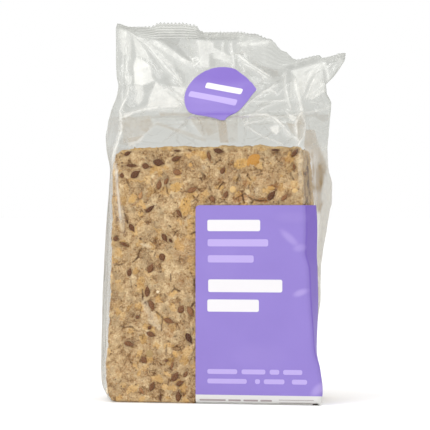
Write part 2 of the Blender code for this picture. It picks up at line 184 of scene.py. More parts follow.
def distance_to_run(x, z, start, end):
    """The distance of places from a straight run, and the share of the run that they lie beside."""
    run_x, run_z = end[0] - start[0], end[1] - start[1]
    share = clamp01(((x - start[0]) * run_x + (z - start[1]) * run_z) / (run_x**2 + run_z**2))
    return np.hypot(x - start[0] - run_x * share, z - start[1] - run_z * share), share


def distance_to_path(x, z, points):
    nearest = np.full(np.shape(x), np.inf)
    for start, end in zip(points, points[1:]):
        nearest = np.minimum(nearest, distance_to_run(x, z, start, end)[0])
    return nearest


def beside_path(x, z, points):
    """The distance of places from a path, the share of it that they lie beside, and on which side."""
    points = np.array(points)
    lengths = np.hypot(*np.diff(points, axis=0).T)
    passed = np.concatenate([[0], np.cumsum(lengths)]) / lengths.sum()
    nearest = np.full(np.shape(x), np.inf)
    share, side = np.zeros_like(nearest), np.zeros_like(nearest)
    for index, (start, end) in enumerate(zip(points, points[1:])):
        distance, part = distance_to_run(x, z, start, end)
        nearer = distance < nearest
        turn = (x - start[0]) * (end[1] - start[1]) - (z - start[1]) * (end[0] - start[0])
        nearest = np.where(nearer, distance, nearest)
        share = np.where(nearer, blend(passed[index], passed[index + 1], part), share)
        side = np.where(nearer, np.sign(turn), side)
    return nearest, share, side


def inside_outline(x, z, points):
    """Where places lie inside a closed outline."""
    inside = np.zeros(np.shape(x), bool)
    for (x1, z1), (x2, z2) in zip(points, points[1:] + points[:1]):
        crosses = (z1 > z) != (z2 > z)
        inside ^= crosses & (x < (x2 - x1) * (z - z1) / (z2 - z1 + 1e-12) + x1)
    return inside


def soft_patch(x, z, points, softness):
    """One well inside a closed outline, falling to nought a little outside it."""
    distance = distance_to_path(x, z, points + points[:1])
    signed = np.where(inside_outline(x, z, points), -distance, distance)
    return 1 - ease(-softness, softness, signed)


def turned(x, z, lean):
    """Places along and across a direction that leans by some degrees."""
    cosine, sine = math.cos(math.radians(lean)), math.sin(math.radians(lean))
    return x * cosine + z * sine, z * cosine - x * sine


def oval_distance(x, z, centre, half_long, half_wide, lean):
    """How far places lie from an oval's centre: nought there and one on the oval."""
    run, rise = turned(x - centre[0], z - centre[1], lean)
    return np.hypot(run / half_long, rise / half_wide)


# Repeatable noise

def lattice_random(cells, seed):
    """A repeatable number from nought to one for each whole-number cell."""
    whole = cells.astype(np.int64).astype(np.uint32)
    mixed = whole[..., 0] * np.uint32(73856093)
    mixed ^= whole[..., 1] * np.uint32(19349663)
    mixed ^= whole[..., 2] * np.uint32(83492791)
    mixed ^= np.uint32((seed + 1) * 2654435761 % 2**32)
    for shift, factor in ((16, 0x7FEB352D), (15, 0x846CA68B)):
        mixed ^= mixed >> np.uint32(shift)
        mixed *= np.uint32(factor)
    mixed ^= mixed >> np.uint32(16)
    return mixed / 2.0**32


def value_noise(points, seed):
    """Smooth noise from -1 to 1."""
    base = np.floor(points)
    part = points - base
    part = part * part * (3 - 2 * part)
    total = 0.0
    for corner in itertools.product((0, 1), repeat=3):
        weight = np.prod(np.where(np.array(corner), part, 1 - part), axis=-1)
        total = total + weight * lattice_random(base + np.array(corner), seed)
    return total * 2 - 1


def layered_noise(points, seed, layers=3):
    total, strength, size = 0.0, 1.0, 1.0
    for layer in range(layers):
        total = total + strength * value_noise(points * size, seed + layer)
        strength *= 0.5
        size *= 2.03
    return total / 1.75


def nearest_cells(points, seed):
    """Distances to the nearest two scattered centres, in cells, and a number for the nearest one."""
    base = np.floor(points)
    first = np.full(points.shape[:-1], 9.0)
    second = first.copy()
    number = np.zeros_like(first)
    for step in itertools.product((-1, 0, 1), repeat=3):
        cell = base + np.array(step)
        centre = cell + np.stack([lattice_random(cell, seed + axis) for axis in range(3)], axis=-1)
        distance = np.linalg.norm(points - centre, axis=-1)
        nearer = distance < first
        second = np.where(nearer, first, np.minimum(second, distance))
        number = np.where(nearer, lattice_random(cell, seed + 3), number)
        first = np.minimum(first, distance)
    return first, second, number


# The bag's surface

def flap_shares(level):
    """How far a level is from the flap's start up to the seal, and from there up to the cut edge."""
    return part_way(FLAP_START, SEAL_START, level), part_way(SEAL_START, FLAP_END, level)


def height_of(level, x):
    """The height of a level, which follows the seal's slope on the flap."""
    to_seal, in_seal = flap_shares(level)
    below_seal = blend(FLAP_START, along(SEAL_LOWER_LINE, x), to_seal)
    on_flap = blend(below_seal, along(SEAL_UPPER_LINE, x), in_seal)
    return np.where(level <= FLAP_START, level + 0 * x, on_flap)


def flap_wave(level, x, z):
    """How far folds push both faces of the flap and the seal to the back."""
    folds = 0.0
    for start, end, depth, half_width in FLAP_FOLDS:
        folds = folds + depth * clamp01(1 - distance_to_run(x, z, start, end)[0] / half_width)
    strength = part_way(FOLDS_FADE_FROM, FOLDS_FADE_TO, level)
    to_seal, in_seal = flap_shares(level)
    wave = blend(along(SEAL_LOWER_WAVE, x), along(SEAL_UPPER_WAVE, x), in_seal)
    return folds * strength * (1 - to_seal) + wave * to_seal


def unit(vectors):
    return vectors / np.maximum(np.linalg.norm(vectors, axis=-1, keepdims=True), 1e-9)


def rounded_section(corners, places):
    """Points of each row's path through its corners, which are rounded. Places count whole panels."""
    panel = np.minimum(places.astype(int), corners.shape[1] - 2)
    share = places - panel
    # On the front or back panel the label's left edge stays upright
    left, right = corners[:, 1, 0], corners[:, 2, 0]
    edge = ((LABEL_LEFT - left) / (right - left))[:, None]
    past_edge = blend(edge, 1.0, (share - LABEL_LEFT_SHARE) / (1 - LABEL_LEFT_SHARE))
    upright = np.where(share < LABEL_LEFT_SHARE, edge * share / LABEL_LEFT_SHARE, past_edge)
    share = np.where(panel == 1, upright, share)[..., None]
    row = np.arange(len(corners))[:, None]
    here, there = corners[row, panel], corners[row, panel + 1]
    points = blend(here, there, share)
    length = np.linalg.norm(there - here, axis=-1)
    for index in range(1, corners.shape[1] - 1):
        before, turn, after = corners[:, index - 1], corners[:, index], corners[:, index + 1]
        sides = (np.linalg.norm(before - turn, axis=-1), np.linalg.norm(after - turn, axis=-1))
        reach = np.minimum(CORNER_RADIUS, 0.3 * np.minimum(*sides))[:, None]
        start = turn + unit(before - turn) * reach
        end = turn + unit(after - turn) * reach
        past = panel == index
        distance = np.where(past, share[..., 0] * length, (1 - share[..., 0]) * length)
        touched = (past | (panel == index - 1)) & (distance < reach)
        t = (0.5 + 0.5 * distance / reach * np.where(past, 1, -1))[..., None]
        first = blend(start[:, None], turn[:, None], t)
        last = blend(turn[:, None], end[:, None], t)
        points = np.where(touched[..., None], blend(first, last, t), points)
    return points


def label_share(place):
    """One where the label wraps under the base."""
    from_left = (place - 1 - LABEL_LEFT_SHARE) / RECESS_FADE_SHARE + 1
    from_right = (2 - place) / RECESS_FADE_SHARE + 1
    return clamp01(from_left) * clamp01(from_right)


def place_across(x, left, right):
    """The place on the front panel of a point across the bag."""
    before = LABEL_LEFT_SHARE * (x - left) / (LABEL_LEFT - left)
    after = blend(LABEL_LEFT_SHARE, 1.0, (x - LABEL_LEFT) / (right - LABEL_LEFT))
    return 1 + np.where(x < LABEL_LEFT, before, after)


def back_insets(levels):
    """How much nearer to the middle the back's left and right corners are than the front's."""
    thick = 1 - part_way(SLICE_HEIGHT, FLAP_START, levels)
    from_foot = part_way(FOOT_INSET_TO, BACK_INSET_FROM, levels)
    return BACK_INSET * thick, blend(BACK_FOOT_INSET, BACK_INSET, from_foot) * thick


def film_points(levels, places, side):
    """Points of the bag's surface: a row for each level, whose places may differ from row to row."""
    left_fold, left, right, right_fold, depth, front, back = spline_rows(SECTIONS, levels).T
    face = front
    if side > 0:
        left_inset, right_inset = back_insets(levels)
        left, right, face = left + left_inset, right - right_inset, back
    turns = ((left_fold, depth), (left, face), (right, face), (right_fold, depth))
    corners = np.stack([np.stack(turn, axis=-1) for turn in turns], axis=1)
    places = np.broadcast_to(places, (len(levels), np.shape(places)[-1]))
    flat = rounded_section(corners, places)
    x, y = flat[..., 0], flat[..., 1]
    level = levels[:, None]
    z = height_of(level, x)
    if side < 0:
        z = z + LABEL_RECESS * label_share(places) * clamp01(1 - level / RECESS_FADE_LEVEL)
    return np.stack([x, y + flap_wave(level, x, z), z], axis=-1)


def grid_normals(points):
    """Directions out of a grid of points, whose columns run to the right and rows run up."""
    across = np.gradient(points, axis=1)
    up = np.gradient(points, axis=0)
    return unit(np.cross(across, up))


# From a pixel of the photograph to the object

def place_at_pixel(px, py, y):
    """The (x, z) that a pixel shows, at a known depth."""
    x = 0.0
    sine, cosine = math.sin(CAMERA_TURN), math.cos(CAMERA_TURN)
    for _ in range(8):
        depth = CAMERA_DISTANCE - x * sine + y * cosine
        x = ((px - AXIS_PIXEL[0]) * depth / PIXELS_PER_SLOPE - y * sine) / cosine
    return x, CAMERA_PLACE[2] - (py - AXIS_PIXEL[1]) * depth / PIXELS_PER_SLOPE


# The front film's depth at heights, for pixels on it
FRONT_DEPTH_GUESS = -20.0
FRONT_HEIGHTS = [0.0, 117.5, 125.5, 130.5, 134.6, 139.5, 145.0, 148.5, 155.0, 165.0, 171.0]
FRONT_DEPTHS = [-23.5, -23.5, -21.6, -19.5, -10.0, -6.8, -2.8, -0.4, 2.5, 6.0, 7.5]


def on_front_film(pixels):
    """The (x, z) places on the front film that pixels show."""
    places = []
    for px, py in pixels:
        y = FRONT_DEPTH_GUESS
        for _ in range(6):
            x, z = place_at_pixel(px, py, y)
            y = float(np.interp(z, FRONT_HEIGHTS, FRONT_DEPTHS))
        places.append((x, z))
    return places


# Materials

def srgb(red, green, blue):
    """A colour given as seen in the photograph, from 0 to 255, as the linear colour of a shader."""
    linear = [(c / 255 / 12.92) if c <= 10 else ((c / 255 + 0.055) / 1.055) ** 2.4
              for c in (red, green, blue)]
    return (*linear, 1.0)


class Nodes:
    """Short ways to add and link the nodes of one material."""

    def __init__(self, name):
        self.material = bpy.data.materials.new(name)
        self.material.use_nodes = True
        self.tree = self.material.node_tree
        self.tree.nodes.clear()
        self.out = self.tree.nodes.new("ShaderNodeOutputMaterial")

    def add(self, kind, inputs=None, **settings):
        node = self.tree.nodes.new("ShaderNode" + kind)
        for key, value in settings.items():
            setattr(node, key, value)
        for key, value in (inputs or {}).items():
            self.put(value, node.inputs[key])
        return node

    def put(self, value, socket):
        if isinstance(value, bpy.types.NodeSocket):
            self.tree.links.new(value, socket)
        elif isinstance(value, bpy.types.Node):
            self.tree.links.new(value.outputs[0], socket)
        else:
            socket.default_value = value

    def math(self, operation, *values, clamp=False):
        inputs = dict(enumerate(values))
        return self.add("Math", inputs, operation=operation, use_clamp=clamp).outputs[0]

    def plus(self, a, b):
        return self.math("ADD", a, b)

    def minus(self, a, b):
        return self.math("SUBTRACT", a, b)

    def times(self, a, b):
        return self.math("MULTIPLY", a, b)

    def greater(self, a, b):
        return self.math("MAXIMUM", a, b)

    def scaled(self, value, factor, start):
        """The value times a factor, and more by start."""
        return self.math("MULTIPLY_ADD", value, factor, start)

    def mix(self, share, a, b):
        return self.add("Mix", {0: share, 6: a, 7: b}, data_type="RGBA").outputs[2]

    def attribute(self, name):
        return self.add("Attribute", attribute_name=name).outputs["Fac"]

    def place(self):
        return self.add("TexCoord").outputs["Object"]

    def noise(self, per_mm, detail=3.0, roughness=0.55):
        return self.add("TexNoise", {
            "Vector": self.place(), "Scale": per_mm / MM, "Detail": detail, "Roughness": roughness,
        }).outputs["Fac"]

    def cells(self, where, size_mm, feature="F1"):
        """Scattered cells of about this size."""
        return self.add("TexVoronoi", {"Vector": where, "Scale": 1 / size_mm / MM}, feature=feature)

    def tones(self, cells):
        """Three numbers of its own for each cell."""
        return self.add("SeparateColor", {0: cells.outputs["Color"]}).outputs

    def ramp(self, value, start, end):
        """From nought at start to one at end, whichever is greater."""
        inputs = {"Value": value, "From Min": start, "From Max": end}
        return self.add("MapRange", inputs).outputs[0]

    def warp(self, where, per_mm, reach_mm):
        """Places pushed about by noise, so that what is laid on them gets uneven outlines."""
        noise = self.add("TexNoise", {"Vector": where, "Scale": per_mm / MM, "Detail": 2.0})
        inputs = {0: noise.outputs["Color"], 1: (0.5, 0.5, 0.5)}
        centred = self.add("VectorMath", inputs, operation="SUBTRACT")
        push = self.add("VectorMath", {0: centred, "Scale": reach_mm * 2 * MM}, operation="SCALE")
        return self.add("VectorMath", {0: where, 1: push}, operation="ADD").outputs[0]

    def ragged(self, name, strength):
        """A mask of the mesh with a grainy, uneven edge."""
        grain = self.scaled(self.noise(2.0, 3.0, 0.7), 3.6, -1.8)
        mask = self.attribute(name)
        rising = self.times(self.ramp(self.plus(mask, self.times(grain, mask)), 0.12, 0.75), strength)
        patchy = self.scaled(self.ramp(self.noise(1.0, 3.0, 0.7), 0.38, 0.56), 0.5, 0.5)
        return self.times(rising, patchy)

    def steps(self, value, stops):
        """A colour for a value, from a list of (place, colour)."""
        node = self.add("ValToRGB", {"Fac": value})
        ramp = node.color_ramp
        while len(ramp.elements) < len(stops):
            ramp.elements.new(1.0)
        for element, (place, colour) in zip(ramp.elements, stops):
            element.position = place
            element.color = colour
        return node.outputs["Color"]

    def bump(self, height, strength, distance_mm):
        inputs = {"Height": height, "Strength": strength, "Distance": distance_mm * MM}
        return self.add("Bump", inputs).outputs["Normal"]

    def finish(self, shader):
        self.put(shader.outputs[0], self.out.inputs["Surface"])
        return self.material

    def finish_solid(self, colour, roughness, specular, normal):
        """The finished material with one surface that light doesn't pass."""
        return self.finish(self.add("BsdfPrincipled", {
            "Base Color": colour, "Roughness": roughness, "Specular IOR Level": specular, "Normal": normal,
        }))


FILM_TINT = (0.795, 0.800, 0.780, 1.0)
FILM_DEEP_TINT = (0.70, 0.70, 0.67, 1.0)
FILM_TIGHT_TINT = (0.93, 0.93, 0.92, 1.0)
FILM_DIM_AND_SHADE_TINT = (0.55, 0.55, 0.53, 1.0)
MOST_SHINE = 0.18
HAZE_AND_HIGHLIGHT_WHITE = (0.80, 0.80, 0.765, 1.0)
HAZE_WARM = (0.36, 0.27, 0.16, 1.0)
FILM_SHEEN = (0.95, 0.95, 0.94, 1.0)
FILM_ROUGHNESS = 0.15
FILM_INDEX = 1.36
# How much of the light that reaches milky film passes through it
HAZE_PASSING = 0.35


def film_material():
    """Clear film: greyish where it is flat, milky white along its creases, glossy all over. Its milky white
    is partly a painted highlight, and its darker tint partly painted shade.
    """
    n = Nodes("clear_film")
    edge_on = n.add("LayerWeight", {"Blend": 0.25}).outputs["Facing"]
    tint = n.mix(n.times(edge_on, 0.75), FILM_TINT, FILM_DEEP_TINT)
    tint = n.mix(n.attribute("clear"), tint, FILM_TIGHT_TINT)
    tint = n.mix(n.attribute("dim_and_painted_shade"), tint, FILM_DIM_AND_SHADE_TINT)
    through = n.add("BsdfTransparent", {"Color": tint})
    gloss = n.add("BsdfGlossy", {"Color": FILM_SHEEN, "Roughness": FILM_ROUGHNESS})
    shine = n.math("MINIMUM", n.add("Fresnel", {"IOR": FILM_INDEX}), MOST_SHINE)
    shine = n.times(shine, n.scaled(n.attribute("clear"), -0.6, 1.0))
    clear = n.add("MixShader", {0: shine, 1: through, 2: gloss})
    haze_colour = n.mix(n.attribute("warm"), HAZE_AND_HIGHLIGHT_WHITE, HAZE_WARM)
    milky = n.add("BsdfDiffuse", {"Color": haze_colour})
    passing = n.add("BsdfTranslucent", {"Color": haze_colour})
    scatter = n.add("MixShader", {0: HAZE_PASSING, 1: milky, 2: passing})
    # The milky white and the painted highlights are slowly uneven, from about three quarters to a little
    # over one
    mottle = n.scaled(n.noise(0.25, 2.0), 0.5, 0.75)
    haze_and_highlight = n.math("MULTIPLY", n.attribute("haze_and_highlight"), mottle, clamp=True)
    return n.finish(n.add("MixShader", {0: haze_and_highlight, 1: clear, 2: scatter}))


CRUMB_STOPS = [
    (0.00, srgb(104, 70, 41)),
    (0.22, srgb(148, 116, 79)),
    (0.45, srgb(178, 149, 109)),
    (0.70, srgb(197, 169, 128)),
    (1.00, srgb(222, 199, 160)),
]
CRUMB_GOLD = srgb(212, 167, 94)
CRUMB_TOAST = srgb(158, 102, 51)
CRUMB_CREAM_AND_HIGHLIGHT = srgb(226, 210, 182)
CRUMB_GREY = srgb(164, 144, 113)
CRUMB_SPECK_AND_SHADE = srgb(70, 38, 18)
# The sizes of flakes, of the bits in them, of pits and of dark specks
FLAKE_SIZE, BIT_SIZE, PIT_SIZE, SPECK_SIZE = 3.1, 1.25, 2.3, 1.15


def bread_material():
    """Baked crumb: beige lumps with golden and cream flakes, brown pits and cracks darkened with painted
    shade, a fine grain. The cream mask also carries painted highlights.
    """
    n = Nodes("crispbread")
    where = n.warp(n.warp(n.place(), 0.5, 1.3), 1.7, 0.5)
    flake_tones = n.tones(n.cells(where, FLAKE_SIZE))
    bit_tones = n.tones(n.cells(where, BIT_SIZE))
    pit = n.cells(where, PIT_SIZE)
    speck = n.cells(n.warp(where, 2.6, 0.5), SPECK_SIZE)
    grain = n.noise(1.3, 4.0, 0.65)
    fine = n.noise(4.5, 2.0, 0.6)
    edge = n.ramp(n.cells(where, FLAKE_SIZE, "DISTANCE_TO_EDGE").outputs["Distance"], 0.0, 0.11)

    tone = n.attribute("tone")
    for part, strength in ((flake_tones[0], 0.40), (bit_tones[0], 0.34), (grain, 1.25), (fine, 0.45)):
        tone = n.plus(tone, n.scaled(part, strength, -strength / 2))
    # Darker at the flakes' edges: painted shade between the flakes
    tone = n.math("SUBTRACT", tone, n.scaled(edge, -0.05, 0.05), clamp=True)
    colour = n.steps(tone, CRUMB_STOPS)

    greyish = n.times(n.ramp(n.noise(0.16, 3.0, 0.6), 0.50, 0.68), 0.5)
    colour = n.mix(n.greater(greyish, n.ragged("grey", 0.5)), colour, CRUMB_GREY)
    golden = n.greater(n.times(n.ramp(flake_tones[1], 0.80, 0.90), 0.45), n.ragged("gold", 0.8))
    colour = n.mix(n.times(golden, n.ramp(fine, 0.12, 0.46)), colour, CRUMB_GOLD)
    toast = n.times(n.ramp(n.noise(1.1, 3.0, 0.7), 0.58, 0.68), 0.75)
    toasted = n.times(n.ragged("toast", 0.9), n.ramp(n.noise(2.0, 3.0, 0.7), 0.36, 0.60))
    colour = n.mix(n.greater(toast, toasted), colour, CRUMB_TOAST)
    colour = n.mix(n.ragged("cream", 0.5), colour, CRUMB_CREAM_AND_HIGHLIGHT)

    # Pits and thin cracks, darkened with painted shade, and dark specks in some parts only
    pits = n.times(n.ramp(n.tones(pit)[0], 0.72, 0.76), n.ramp(pit.outputs["Distance"], 0.26, 0.10))
    specks = n.times(n.ramp(n.tones(speck)[0], 0.82, 0.86), n.ramp(speck.outputs["Distance"], 0.36, 0.16))
    specks = n.times(specks, n.ramp(n.noise(0.22, 2.0), 0.42, 0.56))
    line = n.ramp(n.math("ABSOLUTE", n.minus(n.noise(0.55, 2.0, 0.6), 0.5)), 0.014, 0.004)
    line = n.times(line, n.ramp(n.noise(0.33, 1.0), 0.56, 0.62))
    dark = n.greater(n.times(n.greater(pits, specks), 0.75), n.times(line, 0.85))
    # The mesh's dark mask: the front slice's cracks and the painted shadow rings round its seeds
    colour = n.mix(n.greater(dark, n.attribute("dark")), colour, CRUMB_SPECK_AND_SHADE)

    height = n.plus(n.plus(grain, n.times(fine, 0.4)), n.times(edge, 0.1))
    height = n.minus(height, n.times(dark, 0.8))
    return n.finish_solid(colour, 0.85, 0.22, n.bump(height, 0.5, 0.4))


HUSK_STOPS = [
    (0.0, srgb(72, 40, 22)),
    (0.35, srgb(106, 69, 42)),
    (0.65, srgb(142, 99, 64)),
    (1.0, srgb(186, 141, 93)),
]
HUSK_RIM = srgb(70, 42, 26)
KERNEL_STOPS = [
    (0.0, srgb(160, 135, 90)),
    (0.25, srgb(186, 144, 81)),
    (0.5, srgb(184, 130, 52)),
    (0.75, srgb(212, 178, 122)),
    (1.0, srgb(238, 221, 190)),
]
KERNEL_RIM = srgb(160, 108, 54)


def own_colour(n, mottle, spread, stops, rim_share, rim_colour):
    """The colour of each seed from its own tone, a little mottled and darker towards its rim."""
    tone = n.plus(n.attribute("tone"), n.scaled(mottle, spread, -spread / 2))
    return n.mix(n.times(n.attribute("rim"), rim_share), n.steps(tone, stops), rim_colour)


def seed_material():
    """Linseed: a smooth brown husk, darker towards its rim, from dark brown to a pale brown."""
    n = Nodes("linseed_husk")
    colour = own_colour(n, n.noise(1.6, 3.0, 0.7), 0.7, HUSK_STOPS, 0.35, HUSK_RIM)
    return n.finish_solid(colour, 0.55, 0.2, n.bump(n.noise(4.0, 3.0, 0.7), 0.5, 0.2))


def kernel_material():
    """Grain kernels and flakes: each has its own tone, from olive over gold to cream."""
    n = Nodes("kernels")
    colour = own_colour(n, n.noise(0.9, 3.0), 0.22, KERNEL_STOPS, 0.25, KERNEL_RIM)
    return n.finish_solid(colour, 0.6, 0.35, n.bump(n.noise(3.0, 3.0), 0.4, 0.2))


PURPLE = srgb(125, 107, 178)
PURPLE_LIGHT = srgb(134, 116, 187)
PURPLE_SHADE = srgb(115, 93, 173)
PAPER_WHITE = srgb(202, 201, 197)
PRINT_WHITE = srgb(214, 212, 214)
PRINT_LILAC_AND_SHEEN = srgb(170, 154, 208)
PRINT_GREY = srgb(150, 140, 138)
PURPLE_FIBRE = srgb(150, 134, 200)
BAR_ROUND = 1.1


def bar_mask(n, across, up, bar):
    """One inside a bar with round corners: left, right, low and high, in millimetres on the sheet."""
    left, right, low, high = bar
    radius = min(BAR_ROUND, (right - left) / 2, (high - low) / 2) * 0.8
    over = []
    for place, start, end in ((across, left, right), (up, low, high)):
        far = n.math("ABSOLUTE", n.minus(place, (start + end) / 2))
        past = n.greater(n.minus(far, (end - start) / 2 - radius), 0.0)
        over.append(n.math("POWER", past, 2.0))
    return n.math("LESS_THAN", n.math("SQRT", n.plus(*over)), radius)


def print_bars(n, colour, bars, across, up):
    """The colour with bars laid on it, which come as (ink, [bar, ...])."""
    for ink, places in bars:
        mask = 0.0
        for bar in places:
            mask = n.greater(bar_mask(n, across, up, bar), mask)
        colour = n.mix(mask, colour, ink)
    return colour


def paper_material(name, bars, band_bars=()):
    """Printed paper: purple with plain bars, and a white band with bars of its own if it has any.

    The mesh says where the purple is shaded and where it shines.
    """
    n = Nodes(name)
    split = n.add("SeparateXYZ", {0: n.add("UVMap", uv_map="print")})
    across, up = split.outputs[0], split.outputs[1]
    fibre = n.noise(2.2, 3.0, 0.7)
    colour = n.mix(n.noise(0.045, 2.0, 0.5), PURPLE, PURPLE_LIGHT)
    colour = n.mix(n.math("MULTIPLY_ADD", fibre, 0.16, -0.04, clamp=True), colour, PURPLE_FIBRE)
    colour = n.mix(n.attribute("shade"), colour, PURPLE_SHADE)
    # Painted sheen, laid on as the pale print lilac
    colour = n.mix(n.attribute("sheen"), colour, PRINT_LILAC_AND_SHEEN)
    colour = print_bars(n, colour, bars, across, up)
    if band_bars:
        colour = n.mix(n.math("LESS_THAN", up, BAND_TOP), colour, PAPER_WHITE)
        colour = print_bars(n, colour, band_bars, across, up)
    specular = n.scaled(n.attribute("shade"), -0.36, 0.4)
    return n.finish_solid(colour, 0.42, specular, n.bump(fibre, 0.12, 0.05))


def floor_material():
    n = Nodes("pale_floor")
    colour = n.mix(n.noise(0.01, 2.0), (0.90, 0.90, 0.90, 1.0), (0.92, 0.92, 0.92, 1.0))
    return n.finish(n.add("BsdfPrincipled", {"Base Color": colour, "Roughness": 0.9}))


# Meshes

def make_piece(name, points, faces, material, values=None):
    """An object from points in millimetres, faces of point numbers, and a value a point for each name."""
    data = bpy.data.meshes.new(name)
    data.from_pydata((np.asarray(points).reshape(-1, 3) * MM).tolist(), [], faces)
    data.materials.append(material)
    for key, value in (values or {}).items():
        attribute = data.attributes.new(key, "FLOAT", "POINT")
        attribute.data.foreach_set("value", np.asarray(value, np.float32).ravel())
    data.shade_smooth()
    piece = bpy.data.objects.new(name, data)
    bpy.context.scene.collection.objects.link(piece)
    return piece


def grid_faces(numbers, closed=False):
    """Four-sided faces between the neighbours of a grid of point numbers."""
    if closed:
        numbers = np.concatenate([numbers, numbers[:, :1]], axis=1)
    low_left, low_right = numbers[:-1, :-1], numbers[:-1, 1:]
    high_right, high_left = numbers[1:, 1:], numbers[1:, :-1]
    return np.stack([low_left, low_right, high_right, high_left], axis=-1).reshape(-1, 4).tolist()


def finish_piece(piece, slot, *nodes):
    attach(piece, "root")
    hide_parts(*nodes)
    return piece


# Film

SIDE_STEPS = 26
PANEL_STEPS = 220
SIDE_WIDTH = 29.0
PANEL_WIDTH = 94.0
ROUND_WIDTH = 2 * (2 * SIDE_WIDTH + PANEL_WIDTH)
TEETH_ON_PANEL = 50
TEETH_ON_LEFT_SIDE = 3
TEETH_ON_RIGHT_SIDE = 10
TOOTH_DEPTH = 1.1
RIB_PITCH = 1.15
RIB_HEIGHT = 0.13
BASE_ROWS = 10
BASE_HAZE = 0.1
FACET_SOFTNESS = 0.5
FLAT_MIDDLE = ROUND_WIDTH / 2
FILM_SEED = 11
# How the teeth get smaller on the right and at the left end: places across, and what is left of them
TEETH_RIGHT, TEETH_RIGHT_SHARE = (18, 30), 0.45
TEETH_LEFT, TEETH_LEFT_SHARE = (-41, -35), 0.2
# How the ribs fade to the right: places across for their height and for their look, and what is left
RIBS_FLATTEN, RIBS_CLEAR, RIB_SHARE = (24, 32), (4, 12), 0.3
# The levels between which the flap's loose film takes over from the walls
SHOULDER = (114, 124)
# Places round half the bag, from a side's fold: the rim of a panel, and where its own creases begin
PANEL_RIM, OWN_CREASES = (0.95, 1.03), (0.5, 0.9)
# Where the film starts to be tight over the slices at the foot and higher up, the levels between
# which this changes, and how far from the right fold it ends
TIGHT_AT_FOOT, TIGHT_HIGH_UP, TIGHT_CHANGE, TIGHT_END = (0.93, 0.985), (0.84, 0.94), (25, 55), (0.50, 0.66)
# Two sizes of crumples and how far each pushes the film
CRUMPLE_SIZE, CRUMPLE_PUSH = 6.5, 0.42
FINE_CRUMPLE_SIZE, FINE_CRUMPLE_PUSH = 2.6, 0.06
# How milky the gussets are on the left and on the right, and how dim and warm the left one is
GUSSET_HAZE_LEFT, GUSSET_HAZE_RIGHT, GUSSET_DIM, GUSSET_WARM = 0.20, 0.44, 0.30, 0.35
# Painted highlights along the side folds and the front corners, laid on as milky white
FOLD_HAZE_AND_HIGHLIGHT, CORNER_HAZE_AND_HIGHLIGHT = 0.4, 0.14
